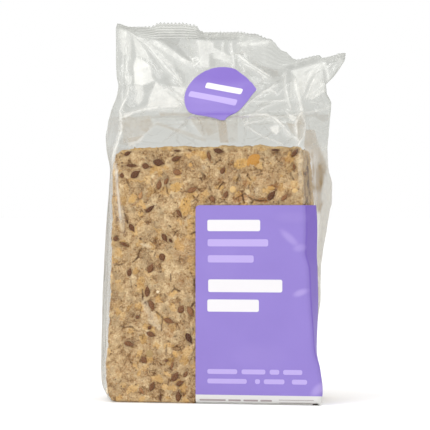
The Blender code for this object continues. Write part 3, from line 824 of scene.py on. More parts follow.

# Creases of the front film, as pixels: points, half width of the line, how far the fold stands out
# and the half width of the fold, both in millimetres, and how white the line is: milky film and a painted
# highlight
CREASES = [
    ([(129.4, 32.2), (148.4, 46.9), (168.2, 70.1), (182, 83.9)], 0.45, 0.7, 3, 0.85),
    ([(157.8, 55.5), (172.5, 70.1), (182.8, 83.9)], 0.32, 0.4, 1.6, 0.8),
    ([(138, 37), (151, 47), (163, 58), (174, 70)], 1.1, 0.5, 3, 0.62),
    ([(152, 41), (173, 54), (194, 66.5)], 1.7, 0.8, 4.5, 0.78),
    ([(125.5, 33), (127.5, 45), (127.8, 60), (126, 74)], 1, 0.6, 3, 0.72),
    ([(118, 29), (120.5, 42), (122.7, 56)], 0.5, 0.3, 1.5, 0.7),
    ([(163, 88), (176, 95.5), (184, 101)], 1, 0.4, 3, 0.6),
    ([(157, 84), (170, 96), (180, 105)], 0.7, 0.3, 2, 0.6),
    ([(196, 77), (188, 86), (183, 93)], 0.7, 0.3, 2, 0.4),
    ([(119, 26), (121.5, 40), (123, 55), (121, 80)], 0.4, 0.3, 1.5, 0.5),
    ([(131, 36), (129.5, 50), (130.5, 60)], 0.5, 0.3, 1.5, 0.45),
    ([(151, 62), (157, 70), (163, 73)], 0.4, 0.2, 1.2, 0.5),
    ([(128.6, 87.3), (126.9, 97.7), (124.3, 102.8), (120, 111.4), (122.5, 122.6)], 0.45, 0.4, 1.6, 0.8),
    ([(120.8, 88), (122.5, 101)], 0.4, 0.3, 1.5, 0.5),
    ([(180, 106.3), (163, 107.6), (146.7, 109.7), (133, 113.5), (123.4, 119)], 0.75, 0.8, 3, 0.85),
    ([(166.5, 100.5), (182.2, 106.3)], 0.4, 0.2, 1.2, 0.5),
    ([(122.5, 123), (121.7, 131.2), (117.4, 144.1), (113, 158.5), (111.5, 163)], 0.65, 0.5, 2, 0.85),
    ([(112.4, 150), (113.6, 160), (116.4, 171), (117.3, 187), (118.9, 203.3),
       (121, 222)], 0.75, 0.15, 1.2, 0.68), ([(120.6, 206), (122.8, 234)], 1.5, 0.1, 2.5, 0.1),
    ([(193.5, 64), (193, 58.5), (198, 58), (198.5, 60.5), (195.5, 60)], 0.45, 0.2, 0.8, 0.95),
    ([(201.5, 59.5), (198, 63.5), (194, 66.5)], 0.4, 0.2, 0.8, 0.9),
    ([(199, 41), (203.5, 49), (203, 70)], 1.6, 0.8, 3.5, 0.7), ([(208, 41), (210, 50)], 1, 0.5, 2, 0.75),
    ([(208, 48), (222, 53), (230, 62)], 1.1, 0.4, 2.4, 0.65),
    ([(223.5, 42), (222, 56)], 0.4, 0.2, 1.2, 0.5),
    ([(231.5, 42.9), (232.3, 55), (234.2, 67.9)], 0.45, 0.4, 1.5, 0.7),
    ([(238.2, 55.4), (250.7, 65.2), (270.4, 76.8)], 0.7, 0.8, 3, 0.85),
    ([(241.8, 63.4), (252.5, 68.8), (267.7, 79.5)], 0.55, 0.5, 2, 0.7),
    ([(240.9, 60.7), (243.5, 67), (244.5, 72.3)], 0.5, 0.3, 1.5, 0.5),
    ([(240, 45), (254, 44.2), (270, 41.5)], 0.9, 0.5, 2, 0.7),
    ([(237.3, 112.5), (253.4, 100), (261.4, 94.6), (281, 83)], 0.4, 0.5, 2, 0.55),
    ([(253.4, 101.8), (270, 101.8), (286.4, 101.3)], 0.35, 0.4, 1.6, 0.6),
    ([(253.4, 114.3), (264, 108), (273.9, 104.5), (280, 101.8)], 0.35, 0.4, 1.8, 0.5),
    ([(262, 93), (270, 89.5), (276.6, 93.8)], 0.5, 0.3, 1.2, 0.6),
    ([(270, 89.5), (275, 84)], 0.4, 0.2, 1, 0.5), ([(279, 93), (289, 85)], 0.4, 0.2, 1.2, 0.4),
    ([(283.8, 71.4), (285.5, 86.6), (290.9, 109.8)], 0.5, 0.9, 3, 0.75),
    ([(294.5, 79.5), (298, 94.6), (301.2, 112.8)], 0.7, 0.9, 3, 0.9),
    ([(290.9, 82), (291.8, 99)], 0.4, 0.3, 1.5, 0.4),
    ([(319, 62.5), (314.1, 66.8), (310.5, 72.4), (307, 79.6), (303.9, 87.8),
       (302.6, 95)], 0.4, 0.9, 3, 0.9),
    ([(320.8, 62), (318, 66.8), (315.7, 72.4), (312.1, 80.6), (309, 88.8),
       (304.9, 99)], 0.45, 0.3, 1.6, 0.9), ([(325.2, 88), (309.3, 99)], 0.7, 0.6, 2, 0.9),
    ([(322.9, 82.6), (309, 95.4)], 0.4, 0.3, 1.2, 0.8),
    ([(321.3, 62.2), (324.9, 65.8), (326.2, 72), (327, 77.5), (328.5, 81.6)], 0.7, 0.5, 2, 0.9),
    ([(332.9, 61.6), (323, 68.8)], 0.4, 0.2, 1.2, 0.4), ([(336, 58), (343, 62)], 0.5, 0.2, 1.2, 0.5),
    ([(307.9, 101.3), (331, 104.5)], 0.3, 0.3, 1.5, 0.35),
    ([(300.7, 113.8), (322.1, 108), (330.2, 104.5)], 0.35, 0.4, 1.8, 0.5),
    ([(248, 116), (265, 115.2), (275.7, 119.6), (282.9, 125.9), (290.9, 135.7),
       (298, 140.5)], 0.6, 0.6, 2.2, 0.75), ([(226, 120), (237, 117), (248, 116)], 0.35, 0.3, 1.5, 0.4),
    ([(245.4, 124.1), (270.4, 118.8), (298.9, 114.3)], 0.3, 0.3, 1.5, 0.5),
    ([(246.3, 125.9), (257.9, 134), (282.9, 144.6)], 0.3, 0.3, 1.5, 0.5),
    ([(243, 119.5), (246, 124.5), (248.5, 118)], 0.3, 0.15, 0.8, 0.4),
    ([(300.7, 114.3), (296.3, 123.2), (297.1, 138.4), (299, 142)], 0.55, 0.5, 1.5, 0.85),
    ([(301.2, 114.3), (303.8, 123.2), (302.5, 137.5), (298, 145.5)], 0.5, 0.5, 1.5, 0.85),
    ([(155.3, 126), (172.5, 131.2), (187.1, 133.8), (201.8, 139), (207, 142.4)], 0.3, 0.5, 3, 0.12),
    ([(171.6, 117.5), (187.1, 131.2)], 0.3, 0.4, 2.5, 0.1),
    ([(192.3, 116.6), (205.2, 138.1)], 0.3, 0.4, 2.5, 0.15),
    ([(150.9, 116), (155.3, 126), (137, 143)], 0.3, 0.12, 2.5, 0.1),
    ([(302, 148), (303.6, 158), (304, 170), (303.2, 188)], 0.35, 0.1, 0.8, 0.25),
    ([(310.4, 156), (311.3, 172), (312.1, 190), (313.5, 214)], 0.22, 0.05, 0.6, 0.45),
]

# Facets of the front film, as outlines in pixels: how milky, as a painted highlight, and how warm each one
# is
# The warm milky strips on the right, over the slices' edges, lift the shade between the slices: painted
# light
HIGHLIGHT_FACETS = [
    ([(136.3, 56.3), (143.2, 59.8), (148.4, 64), (151, 70.1), (151.8, 77.8), (154.4, 80.4), (145.8, 83.9),
       (141.5, 85.2), (133.7, 83.9), (133.7, 74.4), (132.9, 66.7), (134.6, 59.8)], 0.95, 0),
    ([(133.7, 84), (143, 85.5), (143.5, 93), (141, 101), (137.5, 106), (134, 100), (136.5, 93)], 0.6, 0),
    ([(155.9, 81.4), (169.3, 94.8), (181.8, 106), (165, 106.8), (146.7, 108), (149, 98)], 0.72, 0),
    ([(161, 86), (184, 90), (184, 104), (172, 97)], 0.45, 0),
    ([(118.5, 206), (123.5, 206), (126, 234), (120, 236)], 0.12, 0.3),
    ([(170.2, 85.9), (185.4, 87.7), (184, 95), (176, 92)], 0.8, 0),
    ([(147.9, 43), (158.6, 43), (176.4, 52.9), (194.3, 65.4), (190.7, 68.9), (181, 63.6),
       (166.6, 52.9)], 0.55, 0),
    ([(131, 33.2), (137, 39.5), (147, 52), (149.6, 62.7), (144, 58), (136, 56.4), (135.4, 48.4)], 0.7, 0),
    ([(118.4, 27.9), (127, 30.5), (126, 47.5), (123.3, 53), (118.4, 37)], 0.8, 0),
    ([(124, 75), (131.5, 75.5), (131, 83), (127.5, 86.5)], 0.8, 0),
    ([(117, 30), (125, 30), (131, 36), (131, 52), (123, 56), (118, 44)], 0.7, 0),
    ([(197.5, 40), (213, 42), (214, 53), (209, 54), (209, 68), (200, 68)], 0.72, 0),
    ([(213, 49), (230, 56), (230, 64), (221, 60), (213, 58)], 0.6, 0),
    ([(290, 69.7), (320.2, 61.9), (310, 80), (302, 98), (298.9, 94.6), (295.2, 78.3)], 0.6, 0),
    ([(321.5, 62.5), (321.5, 80), (325.3, 87), (308, 99), (306.4, 97.2), (310.7, 85.2)], 0.5, 0),
    ([(265, 92.5), (270, 88), (276.6, 93.5), (271, 92)], 0.8, 0),
    ([(284.6, 109.8), (289, 114.3), (297, 117), (299.8, 115.2), (293.6, 121.4), (290, 119.6)], 0.8, 0),
    ([(269.5, 127), (274, 125.5), (279.3, 125.5), (278.5, 132), (276, 134.8), (271.5, 131.5)], 0.85, 0),
    ([(144, 105), (182, 106), (182, 112), (146, 112)], 0.3, 0),
    ([(123.4, 113.5), (134, 112.5), (130, 117), (124, 120)], 0.8, 0),
    ([(127, 138), (145, 135), (141, 142), (129, 147)], 0.5, 0.15),
    ([(123, 119), (150, 115), (155, 126), (137, 141), (123, 144)], 0.26, 0.75),
    ([(140, 120), (151, 118), (154, 126), (146, 133), (139, 130)], 0.4, 0.9),
    ([(192, 116.5), (240, 115), (238, 143), (206, 140)], 0.16, 0.8),
    ([(217, 117), (227, 117), (229, 143), (220, 143)], 0.5, 0.95),
    ([(190, 118), (203, 117), (207, 132), (203, 138)], 0.34, 0.9),
    ([(285.5, 122), (295, 124), (295.6, 137), (291, 133)], 0.4, 0.85),
    ([(297, 117), (301, 113), (304, 124), (302, 139), (298, 143), (296, 128)], 0.4, 0.9),
    ([(303.5, 128.5), (311.9, 128.5), (314.2, 140), (316.4, 150), (319.5, 160), (321, 168), (318.9, 172),
       (312, 168), (309.6, 170), (308.6, 164), (307.5, 158), (305.5, 152), (303.5, 147)], 0.58, 0.82),
    ([(311.2, 166), (315, 164.5), (318.5, 165.5), (320.3, 169), (318.9, 175), (318.3, 183), (317.1, 190),
       (312.4, 192), (311.6, 180)], 0.95, 1),
    ([(312.4, 190), (317.1, 189), (316.5, 198), (318, 203), (317, 209), (315.3, 212), (313.8, 214),
       (312.6, 198)], 0.68, 1),
    ([(307.4, 150), (310.5, 152), (311.8, 160), (312, 166), (308.8, 166), (307.8, 158)], 0.9, 0.85),
    ([(303.5, 152), (309.2, 153), (309.8, 178), (310.6, 203), (304, 203), (303.5, 178)], 0.42, 0.6),
    ([(308.8, 164), (312, 164), (312.4, 180), (313, 192), (310, 192), (309.4, 178)], 1, 1),
    ([(310.2, 190), (313, 190), (313.6, 202), (314.4, 214), (312.2, 214), (311, 202)], 0.85, 1),
    ([(154, 124), (158, 122.5), (182, 130), (207, 139), (206, 143), (180, 134)], 0.3, 0.85),
    ([(158, 112.5), (192, 112.5), (192, 116), (160, 116.5)], 0.3, 0.85),
    ([(200, 117), (217, 117), (218, 132), (208, 137)], 0.38, 0.95),
    ([(238.3, 42.1), (252, 41), (270.2, 43.5), (266.7, 46.4), (250, 44.5), (237, 44)], 0.5, 0),
    ([(296.5, 148), (304, 148), (304, 196), (299, 196)], 0.08, 0),
    ([(238, 46), (262, 47), (285, 68), (280, 73), (262, 66), (246, 56)], 0.12, 0),
]


# Facets of the front film with painted shade, darker than the rest, as outlines in pixels, and how dark
SHADED_FACETS = [
    ([(118, 26), (139.8, 26.8), (151.4, 28.5), (163, 31.6), (176, 35.5), (195, 36.5), (236, 37),
       (236, 40), (200, 40), (181, 39), (178, 44.9), (184, 52), (194, 63), (182, 58), (176, 52),
       (168, 46), (163, 42), (152, 39), (157, 36), (145, 33.5), (128, 30.5)], 0.58),
    ([(204, 31), (236, 32), (240, 37), (236, 39.5), (204, 39.5)], 0.5),
    ([(158, 36), (200, 35.6), (238, 35.8), (238, 39.5), (200, 39.5), (160, 39)], 0.8),
    ([(174, 29), (203, 29), (204, 36), (174, 36)], 0.6),
    ([(127, 65), (129, 60), (129.6, 70.7), (126.4, 76)], 0.5),
    ([(149, 62), (153, 62), (157, 70), (168, 78), (171, 84), (176, 92), (172, 92), (166, 84), (155, 78),
       (151, 70)], 0.3), ([(146.5, 49.8), (152, 54), (168, 80), (168, 84.7), (160, 74), (152, 62)], 0.3),
    ([(173.8, 61.4), (177, 66), (184.6, 80), (184.6, 83.8), (176, 72)], 0.3),
    ([(141.6, 85.9), (155, 82.3), (153.2, 87.7), (147, 93), (140.7, 90.4)], 0.36),
    ([(147, 93), (148, 99.3), (145.6, 107.3), (138.9, 111.8), (127.3, 112.7), (124.2, 106.4),
       (127.3, 95.7), (131.8, 86.8), (134.5, 90.4), (134.5, 99.3), (138, 105.5), (142.5, 102.9),
       (144.3, 95.7)], 0.2), ([(173.8, 67.1), (181.8, 70.7), (185.4, 76), (180, 74.3)], 0.3),
    ([(210, 54.6), (215, 58), (215, 66), (210, 67)], 0.25),
    ([(285.7, 65.3), (319.3, 54.6), (319.7, 59.7), (290, 68.8), (284, 68)], 0.5),
    ([(321.9, 58.4), (346, 53.3), (344, 57), (326, 64.5)], 0.38),
    ([(272, 68), (284, 69), (288, 84), (282, 92), (276, 82), (270, 78)], 0.28),
    ([(284.5, 69), (289.5, 70), (291.5, 84), (291, 100), (288.5, 86)], 0.3),
    ([(240, 30.5), (262, 34), (272, 41), (262, 38.5), (240, 35.5)], 0.4),
    ([(302.5, 74), (304, 71), (309, 68.2), (312.5, 67), (309.5, 70.5), (304.5, 75.5)], 0.32),
    ([(314.2, 69), (315.4, 69.5), (309.4, 82), (305.5, 95), (304, 96), (307.6, 83)], 0.3),
    ([(321.8, 69), (324.8, 69.5), (325.4, 78), (326.2, 82), (324.6, 85), (322.5, 81), (321.5, 76)], 0.4),
]


def film_columns():
    """Places across half the bag, and the millimetres that each one stands for along a flat film."""
    left = np.linspace(0, 1, SIDE_STEPS + 1)[:-1]
    middle = np.linspace(1, 2, PANEL_STEPS + 1)[:-1]
    right = np.linspace(2, 3, SIDE_STEPS + 1)
    places = np.concatenate([left, middle, right])
    return places, np.interp(places, [0, 1, 2, 3], np.cumsum([0, SIDE_WIDTH, PANEL_WIDTH, SIDE_WIDTH]))


def film_levels():
    base = [0.0, 0.35, 0.7, 1.5, 2.4, 3.6, 5.0]
    walls = np.arange(7.0, 117.0, 2.5)
    upper = np.arange(117.5, SEAL_START, 0.38)
    seal = np.linspace(SEAL_START, FLAP_END, 31)
    return np.concatenate([base, walls, upper, seal])


def tooth_wave(places):
    """From nought to one and back along the cut edge, a whole number of times on each panel."""
    counts = np.interp(places, [0, 1, 2, 3], np.cumsum(
        [0, TEETH_ON_LEFT_SIDE, TEETH_ON_PANEL, TEETH_ON_RIGHT_SIDE]))
    return 1 - np.abs((counts % 1) * 2 - 1)


def random_folds(random):
    """Loose folds of the film, as (start, end, lift, half width, line, white) on the flat film."""
    folds = []

    def scatter(count, across, up, length, lean, lift, white):
        for _ in range(count):
            start = np.array([random.uniform(*across), random.uniform(*up)])
            angle = math.radians(random.uniform(*lean))
            size = random.uniform(*length)
            end = start + size * np.array([math.cos(angle), math.sin(angle)])
            push = random.uniform(*lift) * random.choice([-1, 1])
            width = random.uniform(1.2, 3.6)
            line = random.uniform(0.3, 0.6)
            folds.append((start, end, push, width, line, random.uniform(*white)))

    side, middle, whole = SIDE_WIDTH, FLAT_MIDDLE, ROUND_WIDTH
    # The flap and the shoulder at the back and on both sides
    scatter(46, (middle + 10, whole), (119, 168), (8, 30), (0, 180), (0.3, 0.9), (0.1, 0.6))
    for low, high in ((2, side), (middle - side, middle)):
        scatter(14, (low, high), (119, 165), (8, 26), (50, 130), (0.3, 0.8), (0.1, 0.5))
    # The front of the flap keeps few loose folds beside its own creases
    scatter(10, (side + 4, middle - side), (122, 166), (8, 20), (0, 180), (0.15, 0.35), (0.0, 0.2))
    # The gussets
    spans = ((1, side - 2), (middle - side + 2, middle + side - 2), (whole - side + 2, whole - 1))
    for low, high in spans:
        wide = high - low
        scatter(int(wide * 0.5), (low, high), (4, 104), (14, 46), (78, 102), (0.2, 0.6), (0.0, 0.25))
        scatter(int(wide * 0.2), (low, high), (4, 114), (6, 16), (20, 160), (0.2, 0.5), (0.0, 0.25))
    # The back
    scatter(16, (middle + side, whole - side), (3, 112), (12, 50), (60, 120), (0.05, 0.2), (0.0, 0.3))
    return folds


def loose_folds(around, level):
    """How far loose folds push the film out, and how milky they make it, with painted highlights along
    them.
    """
    lift, haze_and_highlight = np.zeros_like(level), np.zeros_like(level)
    for start, end, push, width, line, white in random_folds(np.random.default_rng(FILM_SEED)):
        distance, share = distance_to_run(around, level, start, end)
        fade = np.sin(math.pi * clamp01(share * 0.9 + 0.05))
        lift += push * clamp01(1 - distance / width) * fade
        haze_and_highlight = np.maximum(haze_and_highlight, white * (1 - ease(line * 0.4, line * 1.6, distance)) * fade)
    return lift, haze_and_highlight


def crease_effects(x, z):
    """How far the front film's own creases push it out, how milky with painted highlights and how warm it
    is, and how much darker with painted shade.
    """
    lift, haze_and_highlight, warm, dim_and_painted_shade = (np.zeros_like(x) for _ in range(4))
    spots = np.stack([x, x * 0 + 5, z], axis=-1)
    cloud = 0.85 + 0.45 * layered_noise(spots / 3.0, 101, 3)
    flicker = 0.8 + 0.6 * layered_noise(spots / 1.6, 111, 2)
    for outline, milky, tint in HIGHLIGHT_FACETS:
        patch = soft_patch(x, z, on_front_film(outline), FACET_SOFTNESS)
        haze_and_highlight = np.maximum(haze_and_highlight, milky * patch * cloud)
        warm = np.maximum(warm, tint * patch)
    for pixels, line, out, spread, white in CREASES:
        distance, share, side = beside_path(x, z, on_front_film(pixels))
        taper = ease(-0.12, 0.10, share) * ease(-0.12, 0.10, 1 - share)
        lift += out * clamp01(1 - distance / spread) * taper
        core = 1 - ease(line * 0.35, line * 1.4, distance)
        # A painted highlight on one flank of each crease that stands out
        flank = 0.32 * min(1.0, out / 0.3) * (1 - ease(line, line * 5, distance)) * (side > 0)
        glow = white * np.maximum(core * flicker, flank) * taper
        haze_and_highlight = np.maximum(haze_and_highlight, glow)
        warm *= 1 - clamp01(glow)
    for outline, dark in SHADED_FACETS:
        patch = soft_patch(x, z, on_front_film(outline), FACET_SOFTNESS)
        dim_and_painted_shade = np.maximum(dim_and_painted_shade, dark * patch * cloud)
        haze_and_highlight *= 1 - clamp01(1.2 * dark) * patch
    return lift, clamp01(haze_and_highlight), warm, clamp01(dim_and_painted_shade)


def cut_teeth(front, back, levels, places):
    """Moves the points of the cut edge to uneven teeth in front and a straight line behind."""
    in_seal = flap_shares(levels)[1][:, None]
    x = front[..., 0]
    depth = TOOTH_DEPTH * blend(1.0, TEETH_RIGHT_SHARE, ease(*TEETH_RIGHT, x))
    depth = depth * blend(TEETH_LEFT_SHARE, 1.0, ease(*TEETH_LEFT, x))
    depth = depth * clamp01(0.7 + 1.4 * layered_noise(front / 3.2, 77, 2))
    front[..., 2] += depth * (0.5 - tooth_wave(places)) * in_seal**3
    back[..., 2] -= TOOTH_DEPTH * 0.6 * in_seal**3


def tightness(level, place):
    """One where the film lies tight over the slices: the front, the back and part of the right side."""
    high_up = ease(*TIGHT_CHANGE, level)
    low, high = (blend(at_foot, above, high_up) for at_foot, above in zip(TIGHT_AT_FOOT, TIGHT_HIGH_UP))
    return ease(low, high, place) * ease(*TIGHT_END, 3 - place)


def film_look(points, level, around, place, is_front):
    """How far each point of the film is pushed out, how milky with painted highlights, how warm, how much
    darker, partly with painted shade, and how clear it is.
    """
    x = points[..., 0]
    upper = ease(*SHOULDER, level)
    seal = ease(SEAL_START - 1, SEAL_START + 0.5, level)
    tight = tightness(level, place)
    lift, haze_and_highlight = loose_folds(around, level)

    # Small crumples, few on the flap's front and hardly any where the film is tight over the slices
    own_part = is_front * ease(*OWN_CREASES, place) * ease(*OWN_CREASES, 3 - place)
    on_panel = ease(*PANEL_RIM, place) * ease(*PANEL_RIM, 3 - place)
    first, second, number = nearest_cells(points / CRUMPLE_SIZE + 40, 21)
    fine_first = nearest_cells(points / FINE_CRUMPLE_SIZE + 40, 31)[0]
    slack = blend(0.45, blend(0.10, 0.02, is_front), np.maximum(on_panel, 0.9 * tight))
    slack = blend(slack, blend(blend(0.7, 0.35, is_front), 0.16, own_part), upper) * (1 - 0.9 * seal)
    lift += slack * (CRUMPLE_PUSH * (first - 0.5) + FINE_CRUMPLE_PUSH * (fine_first - 0.5))
    # Painted glints along the crumples' ridges, laid on as milky white
    ridge = 1 - ease(0.02, 0.10, second - first)
    haze_and_highlight = np.maximum(haze_and_highlight, 0.35 * slack * ridge * ease(0.45, 0.9, number))

    own_lift, own_haze_and_highlight, warm, dim_and_painted_shade = crease_effects(x, points[..., 2])
    lift += own_lift * own_part * (1 - seal)
    haze_and_highlight = np.maximum(haze_and_highlight, own_haze_and_highlight * is_front * np.where(place < 0.4, 0.4, 1.0))
    warm, dim_and_painted_shade = warm * is_front, dim_and_painted_shade * is_front

    # Crimped ribs on the seal, with painted highlights on their crests and painted shade between them
    rib = np.sin(level * 2 * math.pi / RIB_PITCH)
    lift += RIB_HEIGHT * rib * seal * blend(1.0, RIB_SHARE, ease(*RIBS_FLATTEN, x))
    rib_strength = seal * blend(1.0, RIB_SHARE, ease(*RIBS_CLEAR, x))
    haze_and_highlight = np.maximum(haze_and_highlight, ease(0.35, 0.9, rib) * 0.5 * rib_strength)
    dim_and_painted_shade = np.maximum(dim_and_painted_shade, ease(0.0, 0.8, -rib) * 0.28 * rib_strength)

    # The gussets are milky all over, and every sharp corner has a milky painted highlight
    gusset = (1 - tight) * (1 - upper) * ease(2, 10, level)
    on_right = ease(1.4, 1.6, place)
    haze_and_highlight = np.maximum(haze_and_highlight, gusset * blend(GUSSET_HAZE_LEFT, GUSSET_HAZE_RIGHT, on_right))
    dim_and_painted_shade = np.maximum(dim_and_painted_shade, GUSSET_DIM * gusset * (1 - on_right))
    warm = np.maximum(warm, GUSSET_WARM * gusset * (1 - on_right))
    near_fold = np.minimum(place, 3 - place)
    near_corner = np.minimum(np.abs(place - 1), np.abs(place - 2))
    haze_and_highlight = np.maximum(haze_and_highlight, FOLD_HAZE_AND_HIGHLIGHT * (1 - ease(0.0, 0.03, near_fold)))
    haze_and_highlight = np.maximum(haze_and_highlight, CORNER_HAZE_AND_HIGHLIGHT * (1 - ease(0.0, 0.012, near_corner)))
    clear = tight * (1 - ease(116, 120, level))
    return lift * ease(0.0, 6.0, level), {"haze_and_highlight": haze_and_highlight, "warm": warm, "dim_and_painted_shade": dim_and_painted_shade, "clear": clear}


def close_film(points, places):
    """All points and faces of the film, from its walls' grid of points, with its top and its base."""
    numbers = np.arange(points.shape[0] * points.shape[1]).reshape(points.shape[:2])
    faces = grid_faces(numbers, closed=True)
    walls = points.reshape(-1, 3)

    # The top edge, where every second point of the front meets one of the back
    top_front = numbers[-1, : len(places)]
    back_line = list(range(len(places), numbers.shape[1]))[::-1]
    top_back = np.concatenate([[top_front[0]], numbers[-1, back_line], [top_front[-1]]])
    faces += strip_between(top_front, top_back, upward=True)

    # The base, in rows from the front to the back, raised where the label lies under it
    near = numbers[0, : len(places)]
    far = np.concatenate([[near[0]], numbers[0, back_line], [near[-1]]])
    blocks, rows, count = [walls], [near], numbers.size
    for row in range(1, BASE_ROWS):
        line = blend(points[0, : len(places) : 2], walls[far], row / BASE_ROWS)
        covered = clamp01((RECESS_END_DEPTH - line[:, 1]) / RECESS_FADE_DEPTH)
        line[:, 2] = LABEL_RECESS * label_share(places[::2]) * covered
        blocks.append(line[1:-1])
        rows.append(np.concatenate([[near[0]], count + np.arange(len(line) - 2), [near[-1]]]))
        count += len(line) - 2
    for here, there in zip(rows, rows[1:] + [far]):
        faces += strip_between(here, there, upward=False)
    return np.concatenate(blocks), faces


def make_film(material):
    places, flat = film_columns()
    levels = film_levels()
    front = film_points(levels, places, -1)
    back = film_points(levels, places[::2], 1)
    cut_teeth(front, back, levels, places)

    # Once round the bag: the front from left to right, then every second place of the back
    points = np.concatenate([front, back[:, -2:0:-1]], axis=1)
    around = np.concatenate([flat, ROUND_WIDTH - flat[::2][-2:0:-1]])
    place = np.concatenate([places, places[::2][-2:0:-1]])
    level, around, place = np.broadcast_arrays(levels[:, None], around, place)
    is_front = np.zeros(level.shape)
    is_front[:, : len(places)] = 1
    normals = grid_normals(np.concatenate([points[:, -1:], points, points[:, :1]], axis=1))[:, 1:-1]
    lift, look = film_look(points, level, around, place, is_front)
    points = points + normals * lift[..., None]
    points[..., 2] = np.maximum(points[..., 2], 0.0)

    points, faces = close_film(points, places)
    on_base = len(points) - level.size
    values = {}
    for key, value in look.items():
        values[key] = np.concatenate([value.ravel(), np.full(on_base, BASE_HAZE if key == "haze_and_highlight" else 0.0)])
    return make_piece("film", points, faces, material, values)


def strip_between(near, far, upward):
    """Faces between two lines with the same ends. The near one has as many steps, or twice as many."""
    ratio = (len(near) - 1) // (len(far) - 1)
    faces = []
    for i in range(len(far) - 1):
        loop = [int(k) for k in near[i * ratio : i * ratio + ratio + 1]] + [int(far[i + 1]), int(far[i])]
        loop = list(dict.fromkeys(loop))
        if len(loop) > 2:
            faces.append(loop if upward else loop[::-1])
    return faces


# Slices

# The top of the front slice, as pixels
FRONT_TOP = [
    (113.5, 152.4), (116, 150.6), (121, 149.6), (129, 147.8), (134, 146.4), (141, 147.2), (160, 145.9),
    (172, 145.2), (183, 145.2), (190, 146), (205, 146.2), (213, 146.4), (225, 144.9), (240, 145.8),
    (254, 144.9), (262, 143.8), (267, 144.8), (272, 145.9), (285, 146.3), (300, 145.8), (306, 147.4),
    (309.5, 151),
]
SLICE_COUNT = 8
FOOD_SEED = 5
# About how wide and tall a slice is, for the steps of its mesh and for the waves of its edge
SLICE_WIDTH, SLICE_MESH_HEIGHT = 92, 117
# The radius of the front slice's corners and of the others'
FRONT_CORNER, CORNER = 1.6, 2.6
# The slices' low edge left and right of the label's left edge, and where it steps from one to the other
LOW_EDGE_LEFT, LOW_EDGE_RIGHT, LOW_EDGE_STEP = -1.4, 1.35, (-13.0, -9.0)
SIDE_INSET = 0.45
SLICE_PITCH = 5.75
SLICE_THICKNESS = 5.35
STACK_FRONT = -23.05
EDGE_ROUND = 1.25
MOST_EDGE_RELIEF = 0.12
# How far each slice stands out to the right of the front one
RIGHT_SHIFTS = [0.0, 0.1, 0.7, 0.9, 1.6, 1.8, 1.2, 0.2]
# How much the last slice draws back at its upper right, and the heights between which this grows
UPPER_RIGHT_INSET = 2.0
UPPER_RIGHT_START, UPPER_RIGHT_END = 90.0, 116.0
FILM_CLEARANCE = 0.18
# How far the slices bulge to the left near the foot, at which height, and how far up and down
LEFT_BULGE, LEFT_BULGE_HEIGHT, LEFT_BULGE_REACH = 0.8, 14.0, 16.0
# The first slice, counted from nought, with seeds on its top edge
FIRST_SEEDED_TOP = 3
SEED_STRETCH = 1.12
SLICE_LOWEST = 0.15
# The masks of the bread beside its tone
MASKS = ("gold", "cream", "toast", "grey", "dark")
# Scattered seeds: up to which random number they lie on the front behind the label or on the back,
# and of those on the edges, up to which one on the left or on the right. The others lie on the tops
FRONT_SEEDS, BACK_SEEDS = 0.22, 0.6
LEFT_EDGE_SEEDS, RIGHT_EDGE_SEEDS = 0.34, 0.54
# What the label covers of the front slice: from this place to the right, and up to this height
BEHIND_LABEL_FROM, BEHIND_LABEL_TO = -4.0, 90.0
KERNEL_TONES = [0.05, 0.3, 0.7, 0.8, 1.0]
CRUMB_COUNT, LOW_CRUMBS, CRUMB_TOP = 260, 0.65, 118.3

